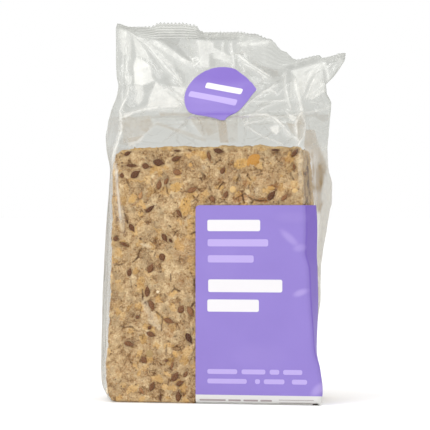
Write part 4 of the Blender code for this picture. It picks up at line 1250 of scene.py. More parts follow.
# Linseeds on the front slice, as pixels: length and width in millimetres, lean in degrees, paleness
LINSEEDS = [
    (127.7, 153.3, 3.4, 1.9, 28, 0.25), (131.8, 165.6, 5, 1.4, -3, 0.25),
    (121.6, 175.1, 2.3, 2.1, 90, 0.35), (135.4, 173.9, 5.2, 3.1, 35, 0.2),
    (145.8, 166.2, 3.6, 2.8, -10, 0.35), (158.9, 162.7, 4.9, 3.2, -8, 0.2),
    (176.5, 158.4, 4.6, 2.2, 20, 0.3), (177.5, 172.4, 4, 2.8, -12, 0.6), (177.5, 150.7, 3.2, 0.9, -3, 0.3),
    (158.9, 184.4, 4.5, 2.5, 80, 0.5), (166.2, 180.9, 3.4, 2, 62, 0.5), (140.5, 195.1, 3.4, 2, 75, 0.9),
    (150.1, 208.6, 5.2, 1.9, 38, 0.15), (179.3, 213.9, 4.2, 1.8, -58, 0.4),
    (192.2, 189.8, 4.6, 2.6, 20, 0.6), (131.8, 228.2, 4.3, 2.3, -58, 0.25),
    (115.8, 238.8, 2.6, 2.4, 0, 0.4), (124.4, 244.5, 3.5, 1.7, -28, 0.35), (164.4, 238, 4.1, 2.4, -60, 0.3),
    (170.5, 240.9, 2.2, 1.4, -50, 0.2), (162.1, 257.6, 3.6, 3, -70, 0.35),
    (150.5, 267.8, 4.6, 2.9, 66, 0.45), (129.3, 272, 3.9, 2.3, 80, 0.3), (147, 291, 5, 2.5, 88, 0.35),
    (151.5, 305.5, 4.7, 2.6, -65, 0.45), (181, 309, 3.9, 3.1, 60, 0.45), (190.5, 312, 4.8, 3, -62, 0.6),
    (169, 321, 4.8, 2.5, -18, 0.5), (151, 334.5, 4.4, 2.5, -18, 0.4), (129, 344, 4.6, 2.4, -12, 0.45),
    (188.8, 338.5, 5.2, 2.8, -62, 0.05), (144, 360.5, 3, 3, -40, 0.45), (166.5, 360.5, 1.8, 1.3, 20, 0.35),
    (172, 365, 4.1, 1.2, 75, 0.6), (175, 376.5, 4.9, 2.9, 55, 0.4), (185.5, 374, 3.2, 1.8, 60, 0.5),
    (180, 383, 4, 2.3, 28, 0.4), (152, 386, 4.6, 2.4, 68, 0.4), (178, 396, 5, 2.5, 88, 0.35),
    (137.5, 317, 2.1, 1.7, 0, 0.4), (141.5, 391, 3.6, 1.7, -60, 0.75), (160, 397, 3.6, 0.9, 90, 0.3),
    (149.5, 327.5, 2.4, 1.5, 45, 0.35), (208.9, 156.7, 4.3, 1.8, -75, 0.45),
    (218.7, 150.9, 4.3, 2.3, -12, 0.2), (222.6, 170.2, 3.4, 2.2, 65, 0.4),
    (294.7, 152.5, 4.6, 1.9, 50, 0.3), (293.9, 167, 2.8, 1.3, -80, 0.5), (306, 173.7, 2.8, 2, -50, 0.35),
    (225.9, 194, 3.2, 2.2, 75, 0.45), (212.7, 199.8, 3.2, 2.4, -60, 0.55),
    (271.5, 195.2, 5.4, 2.7, 52, 0.2), (284.4, 197.3, 3.8, 1.9, 45, 0.6), (275.7, 150, 4.2, 1.1, 0, 0.15),
]
# Kernels on the front slice, in the same way, from olive at 0 over gold to cream at 1
KERNELS = [
    (253.2, 160.4, 8.6, 5.8, 38, 0.48), (149.5, 353.5, 5.6, 4, 90, 0.02), (232.6, 189.4, 3.8, 3.6, 0, 0.72),
    (294.3, 190.7, 3.6, 2.7, 10, 0.75), (144, 207, 3, 2.5, 20, 0.65), (190.1, 165, 2.4, 2.3, 0, 0.62),
    (270.7, 188.2, 4, 2.1, 5, 0.25), (157.5, 291.8, 1.9, 1.5, 10, 1),
]
# Soft fields on the front slice, as pixels: half sizes in millimetres, lean and strength
GOLD_FIELDS = [
    (175.8, 187, 2.9, 2.2, 10, 1), (185.6, 205.8, 4.6, 2.7, 82, 1), (132, 200, 1.9, 1.4, 20, 0.8),
    (136, 147.5, 2.6, 1.4, 10, 0.6), (190, 153.5, 3.4, 1.2, 5, 0.5), (203, 154, 1.6, 1.6, 5, 0.7),
    (240.5, 163.5, 3.6, 2.5, 25, 0.9), (141, 280, 2.2, 1.8, 0, 0.45), (131, 330, 2.2, 1.6, 0, 0.5),
    (175, 354, 1.2, 1.8, 30, 0.8), (123, 385, 1.8, 1.4, 0, 0.4), (262, 149, 2.6, 1, 0, 0.5),
    (118, 252, 2, 2.6, 0, 0.4), (141, 305, 1.4, 1.6, 0, 0.7), (166, 168, 1.6, 1.2, 0, 0.3),
]
# Cream fields; the long strips at (121.5, 219) and (300.3, 168) are painted highlights where the film's
# folds shine over the slice
CREAM_AND_HIGHLIGHT_FIELDS = [
    (146, 306, 1.7, 3.6, 25, 0.9), (152.5, 319, 2.4, 4.2, 25, 0.9), (158.3, 327, 1.4, 1.9, 20, 0.7),
    (146, 245.5, 3.6, 0.7, -15, 0.9), (188, 218, 2.4, 0.8, 35, 0.5), (121.5, 219, 1.4, 6, 5, 0.8),
    (300.3, 168, 1.2, 9.5, 0, 0.7), (188, 152, 1.8, 0.8, 0, 0.4), (204, 167, 1.6, 1.3, 0, 0.5),
    (256, 190, 1.5, 2.3, 10, 0.4),
]
# Greyish fields: the first two lie in hollows, and their grey is painted shade there
GREY_FIELDS = [
    (131, 209, 2.6, 2.4, 0, 0.7), (146, 257, 2.7, 3.6, 10, 0.8), (123, 168, 2.4, 2.2, 0, 0.5),
    (236, 178, 2.6, 2, 0, 0.6), (279, 155, 3.4, 1.8, 0, 0.5), (160, 214, 2.2, 2, 0, 0.5),
    (171, 310.5, 1.6, 2, 0, 0.9), (181, 316.5, 1.6, 1, 0, 0.9), (157, 270, 2, 2, 0, 0.4),
]
TOAST_FIELDS = [
    (184, 250, 5.4, 7, 0, 0.36), (245, 197, 5, 1.6, -8, 0.85), (262, 200.5, 4.4, 1.1, 0, 0.85),
    (246, 183, 2, 1.6, 0, 0.6), (236, 200, 2.4, 1.6, 0, 0.7), (181, 280, 1.6, 3, 0, 0.4),
    (273, 187, 3, 1.8, 0, 0.4), (286, 160, 3, 2, 0, 0.35), (191, 153, 3.4, 0.9, 0, 0.5),
    (226, 178, 5, 4, 0, 0.28), (264, 178, 6, 4, 0, 0.26), (287, 190, 4, 4.5, 0, 0.28),
    (134, 204.5, 2, 0.6, 35, 0.6), (119, 371, 2, 1.6, 0, 0.3), (170, 333, 2.6, 2.4, 0, 0.35),
]
FIELDS = {"gold": GOLD_FIELDS, "cream": CREAM_AND_HIGHLIGHT_FIELDS, "grey": GREY_FIELDS, "toast": TOAST_FIELDS}
# The grey fields that are hollows too, where the grey is painted shade
HOLLOWS = GREY_FIELDS[:2]
# Cracks in the front slice, as pixels: points, half width in millimetres and darkness, which is painted
# shade in the crack
CRACKS = [
    ([(124.4, 213.9), (126, 217), (127.3, 222.5)], 0.55, 1),
    ([(128.1, 181.3), (128.3, 184), (129.7, 186.5)], 0.3, 0.8),
    ([(148.9, 197.6), (150, 200), (151.8, 203.3)], 0.3, 0.8),
    ([(136.5, 259), (139.1, 251.9), (141.1, 248.6), (146.5, 248.6), (151.8, 251.8)], 0.38, 0.75),
    ([(153.8, 256.8), (155.4, 252.3), (157.9, 252.3)], 0.32, 0.7),
    ([(132.2, 262.5), (138.7, 256.8)], 0.35, 0.75), ([(166.4, 250.2), (170.5, 247)], 0.4, 0.8),
    ([(173.4, 236), (175, 233), (177.5, 230.7)], 0.32, 0.85), ([(178.7, 260.4), (179.9, 256)], 0.32, 0.7),
    ([(185.6, 226.2), (186.5, 228.5)], 0.4, 0.8), ([(191.5, 224), (194, 223)], 0.35, 0.8),
    ([(191, 234), (195, 232)], 0.35, 0.8), ([(192.6, 195.5), (194.5, 198), (197.9, 201.3)], 0.35, 0.8),
    ([(163, 187.5), (162.5, 190)], 0.4, 0.7), ([(166.2, 186), (167, 192), (168.5, 194.5)], 0.4, 0.8),
    ([(170.5, 195), (171.5, 198)], 0.45, 0.7), ([(185, 176), (186, 179.5)], 0.35, 0.6),
    ([(199.5, 178), (202, 180)], 0.4, 0.8),
    ([(214.3, 164.5), (217, 161.5), (220.5, 160), (219.7, 157.5)], 0.35, 0.9),
    ([(201, 171.2), (204.8, 176.1)], 0.3, 0.75), ([(218, 189), (220, 185.5), (223.4, 182.8)], 0.42, 0.95),
    ([(208.5, 186.1), (211.4, 191.1)], 0.35, 0.8),
    ([(236.3, 183.5), (237, 179.5), (239.2, 175.7)], 0.5, 0.95), ([(221, 175), (223, 179)], 0.3, 0.6),
    ([(247, 176), (248, 173.5)], 0.4, 0.8), ([(247.9, 188.6), (248.4, 186), (249.1, 184.4)], 0.42, 0.95),
    ([(248.5, 177.5), (250.5, 180)], 0.35, 0.8), ([(257, 174.8), (262, 174)], 0.35, 0.7),
    ([(260, 169.5), (260.5, 172)], 0.3, 0.7), ([(274.8, 160.8), (275.3, 156.7)], 0.35, 0.7),
    ([(290.2, 173), (291.5, 176), (293.4, 179.5)], 0.45, 0.85), ([(262, 158), (264.5, 161.5)], 0.3, 0.7),
    ([(278.2, 201), (278.4, 204)], 0.38, 0.9),
    ([(235.5, 199), (240, 196), (244.6, 193.5), (248, 196.5), (252, 199.5)], 0.4, 0.8),
    ([(242, 195), (244, 203)], 0.5, 0.95), ([(251, 203), (254, 199.5), (259, 201), (266, 200.5)], 0.5, 0.9),
    ([(219, 203), (223, 201.5), (227, 203)], 0.4, 0.8), ([(234, 165), (236, 167.5)], 0.3, 0.6),
    ([(130.6, 277.2), (131.1, 288.7)], 0.26, 0.7), ([(142.1, 289.7), (142.6, 299.7)], 0.36, 0.85),
    ([(170.3, 274.4), (170.6, 280.1)], 0.36, 0.85),
    ([(173.7, 285.8), (174.2, 288.7), (179.4, 291.1)], 0.36, 0.9),
    ([(174.2, 288.7), (171.3, 292.1)], 0.32, 0.85),
    ([(155.5, 311.7), (159, 314.5), (162.2, 317.9)], 0.4, 0.9),
    ([(162.2, 317.9), (161.6, 324), (161.2, 330.8)], 0.32, 0.7),
    ([(162.4, 318), (166, 323), (168.5, 325)], 0.32, 0.7),
    ([(120.1, 326), (124, 327.5), (131.6, 326.5), (134, 329), (136.8, 331.3)], 0.42, 0.9),
    ([(138.3, 334.6), (142.6, 336.1), (142.3, 339)], 0.3, 0.7),
    ([(166.5, 345.2), (165.6, 354.7)], 0.34, 0.8),
    ([(194.3, 279.1), (194.6, 290), (194.3, 302.1), (191.4, 306.4)], 0.55, 0.9),
    ([(192.8, 327.9), (193.3, 332.7)], 0.4, 0.85), ([(117.7, 265.3), (123, 263.8)], 0.3, 0.7),
    ([(194.3, 349), (190.9, 359.5)], 0.35, 0.6), ([(141.1, 306.9), (140.2, 311.7)], 0.3, 0.75),
    ([(173.5, 336.5), (176.5, 336)], 0.3, 0.8), ([(167.8, 341), (170, 342.5)], 0.3, 0.8),
    ([(157.5, 148), (157.7, 150.5)], 0.3, 0.6), ([(153.5, 155.5), (153.8, 158)], 0.4, 0.7),
    ([(188.5, 149.5), (191, 151)], 0.4, 0.8), ([(128.5, 160), (131, 162.5)], 0.35, 0.6),
]


def slice_face_place(px, py):
    return place_at_pixel(px, py, STACK_FRONT)


class SliceShape:
    """One slice: where it stands in the stack and how its outline runs."""

    def __init__(self, number, random):
        self.number = number
        self.front = STACK_FRONT + number * SLICE_PITCH
        self.back = self.front + SLICE_THICKNESS + random.uniform(-0.15, 0.15)
        depth_share = number / (SLICE_COUNT - 1)
        self.inset_left = SIDE_INSET + 1.1 * depth_share + (number > 0) * random.uniform(-0.3, 0.6)
        self.inset_right = SIDE_INSET - RIGHT_SHIFTS[number]
        self.upper_inset_right = UPPER_RIGHT_INSET * depth_share
        self.top = SLICE_HEIGHT + random.uniform(-1.6, 0.3)
        self.phase = random.uniform(0, 100)
        self.corner = CORNER if number else FRONT_CORNER

    def wave(self, along_edge, edge, reach):
        spots = [along_edge / 9.0, np.full_like(along_edge, self.phase), along_edge * 0 + edge]
        return reach * layered_noise(np.stack(spots, axis=-1), 50 + self.number, 3)

    def outline(self, across, up, inset):
        """Points of the slice's outline plane, for shares across and up and an inset from the edge."""
        low = blend(LOW_EDGE_LEFT, LOW_EDGE_RIGHT, ease(*LOW_EDGE_STEP, blend(-48, 44, across)))
        low = low + 0.25 * np.abs(self.wave(across * SLICE_WIDTH, 1, 1.0))
        high = self.top + self.wave(across * SLICE_WIDTH, 2, 0.8)
        if self.number == 0:
            high = np.interp(blend(-48, 41, across), *slice_top_line())
        z = blend(low + inset, high - inset, up)
        rows = spline_rows(SECTIONS, z.ravel()).reshape(*z.shape, -1)
        to_end = np.minimum(z - low, high - z)
        rounding = np.maximum(self.corner - np.maximum(to_end, inset), 0)
        rounding = self.corner - np.sqrt(np.maximum(self.corner**2 - rounding**2, 0))
        left = rows[..., LEFT_CORNER] + self.inset_left + np.abs(self.wave(z, 3, 0.5)) + rounding
        left = left - LEFT_BULGE * np.exp(-(((z - LEFT_BULGE_HEIGHT) / LEFT_BULGE_REACH) ** 2))
        right = rows[..., RIGHT_CORNER] - self.inset_right - np.abs(self.wave(z, 4, 0.5)) - rounding
        right = right - self.upper_inset_right * ease(UPPER_RIGHT_START, UPPER_RIGHT_END, z)
        return np.stack([blend(left + inset, right - inset, across), z], axis=-1)


def field_masks(x, z, fields):
    """The strongest of several soft oval fields with uneven outlines."""
    strongest = np.zeros_like(x)
    for px, py, half_long, half_wide, lean, strength in fields:
        wobble = 1 + 0.25 * layered_noise(np.stack([x / 1.6, z / 1.6, x * 0 + px], -1), 77, 2)
        far = oval_distance(x, z, slice_face_place(px, py), half_long, half_wide, lean) * wobble
        strongest = np.maximum(strongest, strength * (1 - ease(0.7, 1.15, far)))
    return strongest


def bread_surface(points, facing_front):
    """The crumb's relief in millimetres, and its colour masks, from where a point is."""
    push = np.stack([layered_noise(points / 2.4, seed, 2) for seed in (141, 151, 161)], axis=-1)
    uneven = points + 0.9 * push
    lumps = layered_noise(uneven / 3.6, 3, 3)
    first, second, number = nearest_cells(uneven / 3.3 + 7, 5)
    gap = 1 - ease(0.0, 0.22, second - first)
    tiny_first, _, tiny_number = nearest_cells(uneven / 1.5 + 11, 9)

    relief = 0.28 * lumps + 0.30 * (number - 0.5) + 0.14 * (tiny_number - 0.5)
    relief -= 0.13 * gap + 0.10 * tiny_first
    masks = {key: np.zeros_like(relief) for key in MASKS}
    # The tone is a little darker in the gaps between lumps: painted shade
    masks["tone"] = 0.50 + 0.22 * (number - 0.5) + 0.16 * (tiny_number - 0.5) + 0.20 * lumps - 0.06 * gap
    if facing_front is not None:
        relief = add_front_marks(points, relief, masks, np.where(facing_front, 1.0, 0.0))
    return relief, masks


def add_front_marks(points, relief, masks, here):
    """Adds the front slice's own fields, cracks and painted shadow rings round the seeds to the masks, and
    gives the new relief.
    """
    x, z = points[..., 0], points[..., 2]
    for key, fields in FIELDS.items():
        masks[key] = here * field_masks(x, z, fields)
    relief = relief - 0.35 * here * field_masks(x, z, HOLLOWS)
    wobble = 0.25 * layered_noise(points / 1.1, 91, 2)
    broken = clamp01(0.8 + 1.1 * layered_noise(points / 1.5, 95, 2))
    for pixels, half_width, darkness in CRACKS:
        path = [slice_face_place(*pixel) for pixel in pixels]
        distance = distance_to_path(x, z, path) + wobble * half_width
        cut = here * broken * (1 - ease(half_width * 0.3, half_width * 1.4, distance)) * darkness
        relief = relief - 0.45 * cut
        masks["dark"] = np.maximum(masks["dark"], cut)
    # A painted shadow ring round each seed, also sunk a little
    rim, under = seed_shadow_rims(x, z)
    masks["dark"] = np.maximum(masks["dark"], here * 0.2 * rim)
    relief = relief - 0.18 * here * rim
    relief = blend(relief, np.minimum(relief, -0.2), here * under)
    crest = here * (1 - ease(0.8, 2.8, np.interp(x, *slice_top_line()) - z))
    masks["tone"] = masks["tone"] + 0.22 * crest
    masks["gold"] = np.maximum(masks["gold"], 0.35 * crest)
    return relief


def slice_top_line():
    """The front slice's top edge, as places across and up."""
    return np.array([slice_face_place(*pixel) for pixel in FRONT_TOP]).T


def seed_shadow_rims(x, z):
    """One in a thin line round each listed seed, a painted shadow ring, and one under the seed."""
    rim, under = np.zeros_like(x), np.zeros_like(x)
    for px, py, length, width, lean, _ in LINSEEDS:
        far = oval_distance(x, z, slice_face_place(px, py), length / 2, width / 2, lean)
        outside = (far - 1) * min(length, width) / 2
        rim = np.maximum(rim, 1 - ease(0.10, 0.45, np.abs(outside - 0.1)))
        under = np.maximum(under, 1 - ease(-0.1, 0.25, outside))
    return rim, under


def keep_inside(points):
    """Moves points of the food back inside the film."""
    levels = np.clip(points[..., 2].ravel(), 0, FLAP_END)
    rows = spline_rows(SECTIONS, levels).reshape(*points.shape[:-1], -1)
    front, back = rows[..., FRONT] + FILM_CLEARANCE, rows[..., BACK] - FILM_CLEARANCE
    points[..., 1] = np.clip(points[..., 1], front, back)
    fold = rows[..., FOLD_DEPTH]
    ahead = points[..., 1] < fold
    face = np.where(ahead, rows[..., FRONT], rows[..., BACK])
    share = clamp01((points[..., 1] - face) / (fold - face))
    left_inset, right_inset = (np.where(ahead, 0.0, inset) for inset in back_insets(points[..., 2]))
    low = blend(rows[..., LEFT_CORNER] + left_inset, rows[..., LEFT_FOLD], share) + FILM_CLEARANCE
    high = blend(rows[..., RIGHT_CORNER] - right_inset, rows[..., RIGHT_FOLD], share) - FILM_CLEARANCE
    points[..., 0] = np.clip(points[..., 0], low, high)
    return points


def slice_edge_rows(shape):
    """The depth, the inset and the tilt of each row of a slice's edge, from front to back."""
    turns = np.linspace(0, math.pi / 2, 4)
    sunk, drawn_in = EDGE_ROUND * (1 - np.cos(turns)), EDGE_ROUND * (1 - np.sin(turns))
    middle = np.linspace(shape.front + EDGE_ROUND, shape.back - EDGE_ROUND, 6)[1:-1]
    upright = np.zeros(len(middle))
    depths = np.concatenate([shape.front + sunk, middle, shape.back - sunk[::-1]])
    insets = np.concatenate([drawn_in, upright, drawn_in[::-1]])
    tilts = np.concatenate([-np.cos(turns), upright, np.cos(turns[::-1])])
    return zip(depths, insets, tilts)


def make_slice(shape, step, material, fine_front, fine_back):
    """One slice: an edge all round and two faces, which are plain where no one sees them."""
    wide, tall = int(SLICE_WIDTH / step), int(SLICE_MESH_HEIGHT / step)
    run = np.linspace(0, 1, wide + 1)
    rise = np.linspace(0, 1, tall + 1)
    across = np.concatenate([run[:-1], np.ones(tall), run[:0:-1], np.zeros(tall)])
    up = np.concatenate([np.zeros(wide), rise[:-1], np.ones(wide), rise[:0:-1]])

    rows, row_normals = [], []
    for depth, inset, tilt in slice_edge_rows(shape):
        flat = shape.outline(across, up, np.full(across.shape, inset))
        ahead = np.roll(flat, -1, axis=0) - np.roll(flat, 1, axis=0)
        outward = unit(np.stack([ahead[:, 1], -ahead[:, 0]], axis=-1)) * math.sqrt(max(0, 1 - tilt**2))
        rows.append(np.insert(flat, 1, depth, axis=1))
        row_normals.append(np.insert(outward, 1, tilt, axis=1))
    points, normals = np.concatenate(rows), np.concatenate(row_normals)
    numbers = np.arange(len(points)).reshape(len(rows), len(across))
    faces = [face[::-1] for face in grid_faces(numbers, closed=True)]

    sides = ((numbers[0], shape.front, -1, fine_front), (numbers[-1], shape.back, 1, fine_back))
    for loop, depth, way, fine in sides:
        if not fine:
            ring = loop.tolist()
            faces.append(ring[::-1] if way > 0 else ring)
            continue
        grid = shape.outline(*np.meshgrid(run, rise), np.full((tall + 1, wide + 1), EDGE_ROUND))
        inner = np.insert(grid[1:-1, 1:-1].reshape(-1, 2), 1, depth, axis=1)
        lattice = np.full(grid.shape[:2], -1)
        lattice[1:-1, 1:-1] = len(points) + np.arange(len(inner)).reshape(tall - 1, wide - 1)
        lattice[0, :-1], lattice[:-1, -1] = loop[:wide], loop[wide : wide + tall]
        lattice[-1, :0:-1] = loop[wide + tall : 2 * wide + tall]
        lattice[:0:-1, 0] = loop[2 * wide + tall :]
        points = np.concatenate([points, inner])
        normals = np.concatenate([normals, np.broadcast_to((0, way, 0), inner.shape)])
        cells = grid_faces(lattice)
        faces += cells if way < 0 else [cell[::-1] for cell in cells]

    facing_front = (normals[:, 1] < -0.4) if shape.number == 0 else None
    relief, masks = bread_surface(points, facing_front)
    edge_share = 1 - np.abs(normals[:, 1])
    relief = relief * (1 + 0.9 * edge_share) - 0.25 * edge_share
    relief = np.where(edge_share > 0.2, np.minimum(relief, MOST_EDGE_RELIEF), relief)
    # The right edges get less light, so their tone is lifted and made more golden: painted light
    on_right = edge_share * (normals[:, 0] > 0.3)
    masks["toast"] = clamp01(masks["toast"] + 0.10 * edge_share)
    masks["tone"] = masks["tone"] + 0.4 * on_right
    masks["gold"] = np.maximum(masks["gold"], 0.45 * on_right)
    points = keep_inside(points + normals * relief[:, None])
    points[:, 2] = np.maximum(points[:, 2], SLICE_LOWEST)
    return make_piece(f"slice_{shape.number + 1}", points, faces, material, masks)


# Seeds and kernels

def seed_shape(rounds, sides, pointed):
    """A flattened drop one unit long, with one pointed end, as points, faces and how near the rim."""
    shares = np.linspace(0, 1, rounds + 1)[1:-1]
    points, rim = [(-0.5, 0.0, 0.0)], [1.0]
    for share in shares:
        x = share - 0.5
        girth = math.sin(math.pi * share) ** 0.75
        if pointed:
            girth = math.sin(math.pi * share**0.8) ** (0.75 + 0.6 * share)
        for side in range(sides):
            angle = 2 * math.pi * side / sides
            points.append((x, 0.5 * girth * math.cos(angle), 0.5 * girth * math.sin(angle)))
            rim.append(abs(math.cos(angle)) ** 4)
    points.append((0.5, 0.0, 0.0))
    rim.append(1.0)
    last = len(points) - 1
    faces = [[0, 1 + (k + 1) % sides, 1 + k] for k in range(sides)]
    for ring in range(len(shares) - 1):
        low, high = 1 + ring * sides, 1 + (ring + 1) * sides
        faces += [[low + k, low + (k + 1) % sides, high + (k + 1) % sides, high + k] for k in range(sides)]
    low = 1 + (len(shares) - 1) * sides
    faces += [[low + k, low + (k + 1) % sides, last] for k in range(sides)]
    return np.array(points), faces, np.array(rim)


def surface_frame(normal, lean):
    """Directions along, across and out of a surface, the first turned from level by lean degrees."""
    normal = unit(np.asarray(normal, float))
    level = np.cross(normal, (0, 0, 1))
    if np.linalg.norm(level) < 0.2:
        level = np.array([1.0, 0, 0])
    level = unit(level) * -1
    rise = np.cross(normal, level)
    if rise[2] < 0:
        rise = -rise
    angle = math.radians(lean)
    along_seed = level * math.cos(angle) + rise * math.sin(angle)
    return np.stack([along_seed, np.cross(normal, along_seed), normal])


class Gathered:
    """The points, faces and values of many small parts, on the way to one mesh."""

    def __init__(self):
        self.points, self.faces, self.values, self.count = [], [], {}, 0

    def add(self, points, faces, **values):
        """Adds a part. Each of its values is one for every point, or a single one for all."""
        self.faces += [[self.count + k for k in face] for face in faces]
        self.points.append(points)
        self.count += len(points)
        for key, value in values.items():
            self.values.setdefault(key, []).append(np.broadcast_to(value, len(points)))

    def make_piece(self, name, material):
        values = {key: np.concatenate(parts) for key, parts in self.values.items()}
        return make_piece(name, np.concatenate(self.points), self.faces, material, values)


def gather_seeds(name, seeds, shape, thickness, sunk, material):
    """One mesh of many seeds. Each is (centre, normal, length, width, lean, tone)."""
    unit_points, unit_faces, rim = shape
    gathered = Gathered()
    for centre, normal, length, width, lean, tone in seeds:
        size = np.array([length, width, min(thickness, width * 0.8)])
        local = unit_points * size
        local[:, 2] -= sunk * size[2]
        placed = keep_inside(np.asarray(centre) + local @ surface_frame(normal, lean))
        gathered.add(placed, unit_faces, tone=tone, rim=rim)
    return gathered.make_piece(name, material)


def edge_place(shape, edge, share):
    """The place across and up on a slice's left, right or top edge, and the direction out of it."""
    if edge < LEFT_EDGE_SEEDS:
        across, up, normal = 0.0, share, (-1, 0, 0)
    elif edge < RIGHT_EDGE_SEEDS:
        across, up, normal = 1.0, share, (1, 0, 0)
    else:
        across, up, normal = share, 1.0, (0, 0, 1)
    return shape.outline(*np.array([[across], [up], [0.0]]))[0], normal


def scattered_places(shapes, random, count, spacing):
    """Places for seeds on all that can be seen of the slices, apart from the front's open part."""
    places = []
    while len(places) < count:
        x, z = random.uniform(-45, 40), random.uniform(5, 114)
        kind = random.random()
        if kind < FRONT_SEEDS:
            if x < BEHIND_LABEL_FROM or z > BEHIND_LABEL_TO:
                continue
            centre, normal = (x, shapes[0].front, z), (0, -1, 0)
        elif kind < BACK_SEEDS:
            centre, normal = (x, shapes[-1].back, z), (0, 1, 0)
        else:
            shape = shapes[random.integers(len(shapes))]
            depth = random.uniform(shape.front + 1.4, shape.back - 1.4)
            share = random.uniform(0.03, 0.97)
            edge = random.random()
            if edge >= RIGHT_EDGE_SEEDS and shape.number < FIRST_SEEDED_TOP:
                continue
            (x, z), normal = edge_place(shape, edge, share)
            centre = (x, depth, z)
        far = [np.linalg.norm(np.subtract(centre, other[0])) for other in places]
        if far and min(far) < spacing:
            continue
        places.append((centre, normal))
    return places


def placed_seeds(table, front, stretch=1.0):
    """The seeds of a table on the front slice, as gather_seeds takes them."""
    seeds = []
    for px, py, length, width, lean, tone in table:
        x, z = slice_face_place(px, py)
        seeds.append(((x, front, z), (0, -1, 0), length * stretch, width, lean, tone))
    return seeds


def scattered_seeds(places, random, lengths, widths, pick_tone):
    """Seeds of random sizes at places, as gather_seeds takes them."""
    seeds = []
    for centre, normal in places:
        length, width = random.uniform(*lengths), random.uniform(*widths)
        seeds.append((centre, normal, length, width, random.uniform(-90, 90), pick_tone()))
    return seeds


def make_seeds(shapes, random, seed_finish, kernel_finish):
    front = shapes[0].front
    places = scattered_places(shapes, random, 260, 3.6)
    linseeds = placed_seeds(LINSEEDS, front, SEED_STRETCH) + scattered_seeds(
        places, random, (3.6, 5.2), (2.0, 2.9), lambda: random.uniform(0.3, 0.8))
    places = scattered_places(shapes, random, 120, 4.0)
    kernels = placed_seeds(KERNELS, front) + scattered_seeds(
        places, random, (2.6, 5.5), (2.2, 3.6), lambda: random.choice(KERNEL_TONES))
    drop, bean = (seed_shape(10, 12, pointed) for pointed in (True, False))
    return (
        gather_seeds("linseeds", linseeds, drop, 1.1, 0.16, seed_finish),
        gather_seeds("kernels", kernels, bean, 1.3, 0.30, kernel_finish),
    )


def make_crumbs(random, material):
    """Loose crumbs between the slices' feet and the film, and on the tops of the slices."""
    bit, bit_faces, _ = seed_shape(5, 6, False)
    gathered = Gathered()
    for _ in range(CRUMB_COUNT):
        size = random.uniform(0.35, 1.1)
        lying_low = random.random() < LOW_CRUMBS
        place = (random.uniform(-44, 40), random.uniform(-21.0, 21.0), CRUMB_TOP)
        if lying_low:
            beside = random.choice([random.uniform(-53.0, -49.5), random.uniform(42.5, 45.5)])
            place = (beside, random.uniform(-12, 10), random.uniform(2.0, 4.5))
        axes, _ = np.linalg.qr(random.normal(size=(3, 3)))
        shape = bit * size * random.uniform(0.6, 1.0, 3) * (1 + 0.25 * random.normal(size=bit.shape))
        tone = random.uniform(0.3, 0.8)
        gathered.add(shape @ axes + place, bit_faces, tone=tone, **dict.fromkeys(MASKS, 0.0))
    return gathered.make_piece("crumbs", material)


# Label and sticker

PAPER_GAP = 0.35
PAPER_THICKNESS = 0.3
LABEL_HEIGHT = 91.5
LABEL_SIDE_SHARE = 0.75
LABEL_SIDE_LEVELS = [0, 10, 24, 36, 50, 62, 70, 80, 91.5]
LABEL_SIDE_SHARES = [0.53, 0.575, 0.82, 0.82, 0.69, 0.62, 0.61, 0.49, 0.39]
# Soft shines on the label, in millimetres from its left edge and up: place, half sizes, lean, strength
LABEL_SHINES = [
    (43.5, 76.5, 6.0, 1.9, -42, 0.40), (48.0, 72.0, 3.2, 2.0, 10, 0.32), (48.5, 51.5, 3.8, 1.7, 20, 0.55),
    (56.5, 7.5, 4.6, 2.2, 45, 0.5), (45, 86, 9, 3.0, 0, 0.10), (12, 64, 10, 12, 0, 0.06),
    (30, 22, 14, 7, 0, 0.07),
]
# Soft shades on the sticker, in millimetres from its centre, in the same way
STICKER_SHADES = [(2, 12.5, 17, 6.5, 0, 0.75), (2, -13.5, 16, 2.0, 0, 0.6), (14, 2, 5, 9, 0, 0.35)]
STICKER_SHINES = [(-4, -4, 12, 6, 0, 0.10), (2, 12.5, 17, 6.5, 0, 0.06)]
LABEL_UNDER = 21.0
# How far the sheet stands off under the base, as a share of the distance on the walls
UNDER_DROP = 1.45
LABEL_CORNER = 1.5
CORNER_SHARE = 0.022
BAND_TOP = 4.2

# The label's bars in millimetres from its left edge and up from the base: left, right, low, high
LABEL_BARS = [
    (PRINT_WHITE, [(5.5, 30.0, 79.6, 84.8)]),
    (PRINT_LILAC_AND_SHEEN, [(5.6, 33.7, 72.6, 75.9), (5.7, 27.0, 65.2, 68.5)]),
    (PRINT_WHITE, [(5.9, 40.2, 51.6, 57.4), (5.5, 29.4, 42.6, 48.2)]),
    (PRINT_LILAC_AND_SHEEN, [
        (5.5, 19.4, 14.0, 16.2), (21.4, 32.4, 14.0, 16.2), (34.4, 38.8, 14.0, 16.2),
        (40.6, 49.4, 14.0, 16.2), (5.5, 23.8, 9.6, 11.8), (27.6, 29.9, 9.6, 11.8),
        (31.7, 41.2, 9.6, 11.8), (44.6, 51.6, 9.6, 11.8)]),
]
# The bars on the label's white band, in the same way
BAND_BARS = [
    (PRINT_GREY, [
        (1.8, 14.0, 1.1, 1.9), (15.2, 21.0, 1.1, 1.9), (22.2, 29.0, 1.1, 1.9), (30.0, 35.4, 1.1, 1.9),
        (38.6, 54.6, 1.75, 2.05), (38.6, 54.6, 0.55, 0.85)]),
]
STICKER_RADIUS = 16.7
STICKER_CENTRE = (-0.5, 142.4)
# The fold that ends the sticker on the right, as places up and across from its centre
STICKER_RIGHT_EDGE = [
    (-16.4, 4.9), (-12.1, 6.6), (-7.6, 9.4), (-2.6, 13.6), (3.7, 17.2), (7.5, 14.9), (10.0, 13.0),
]
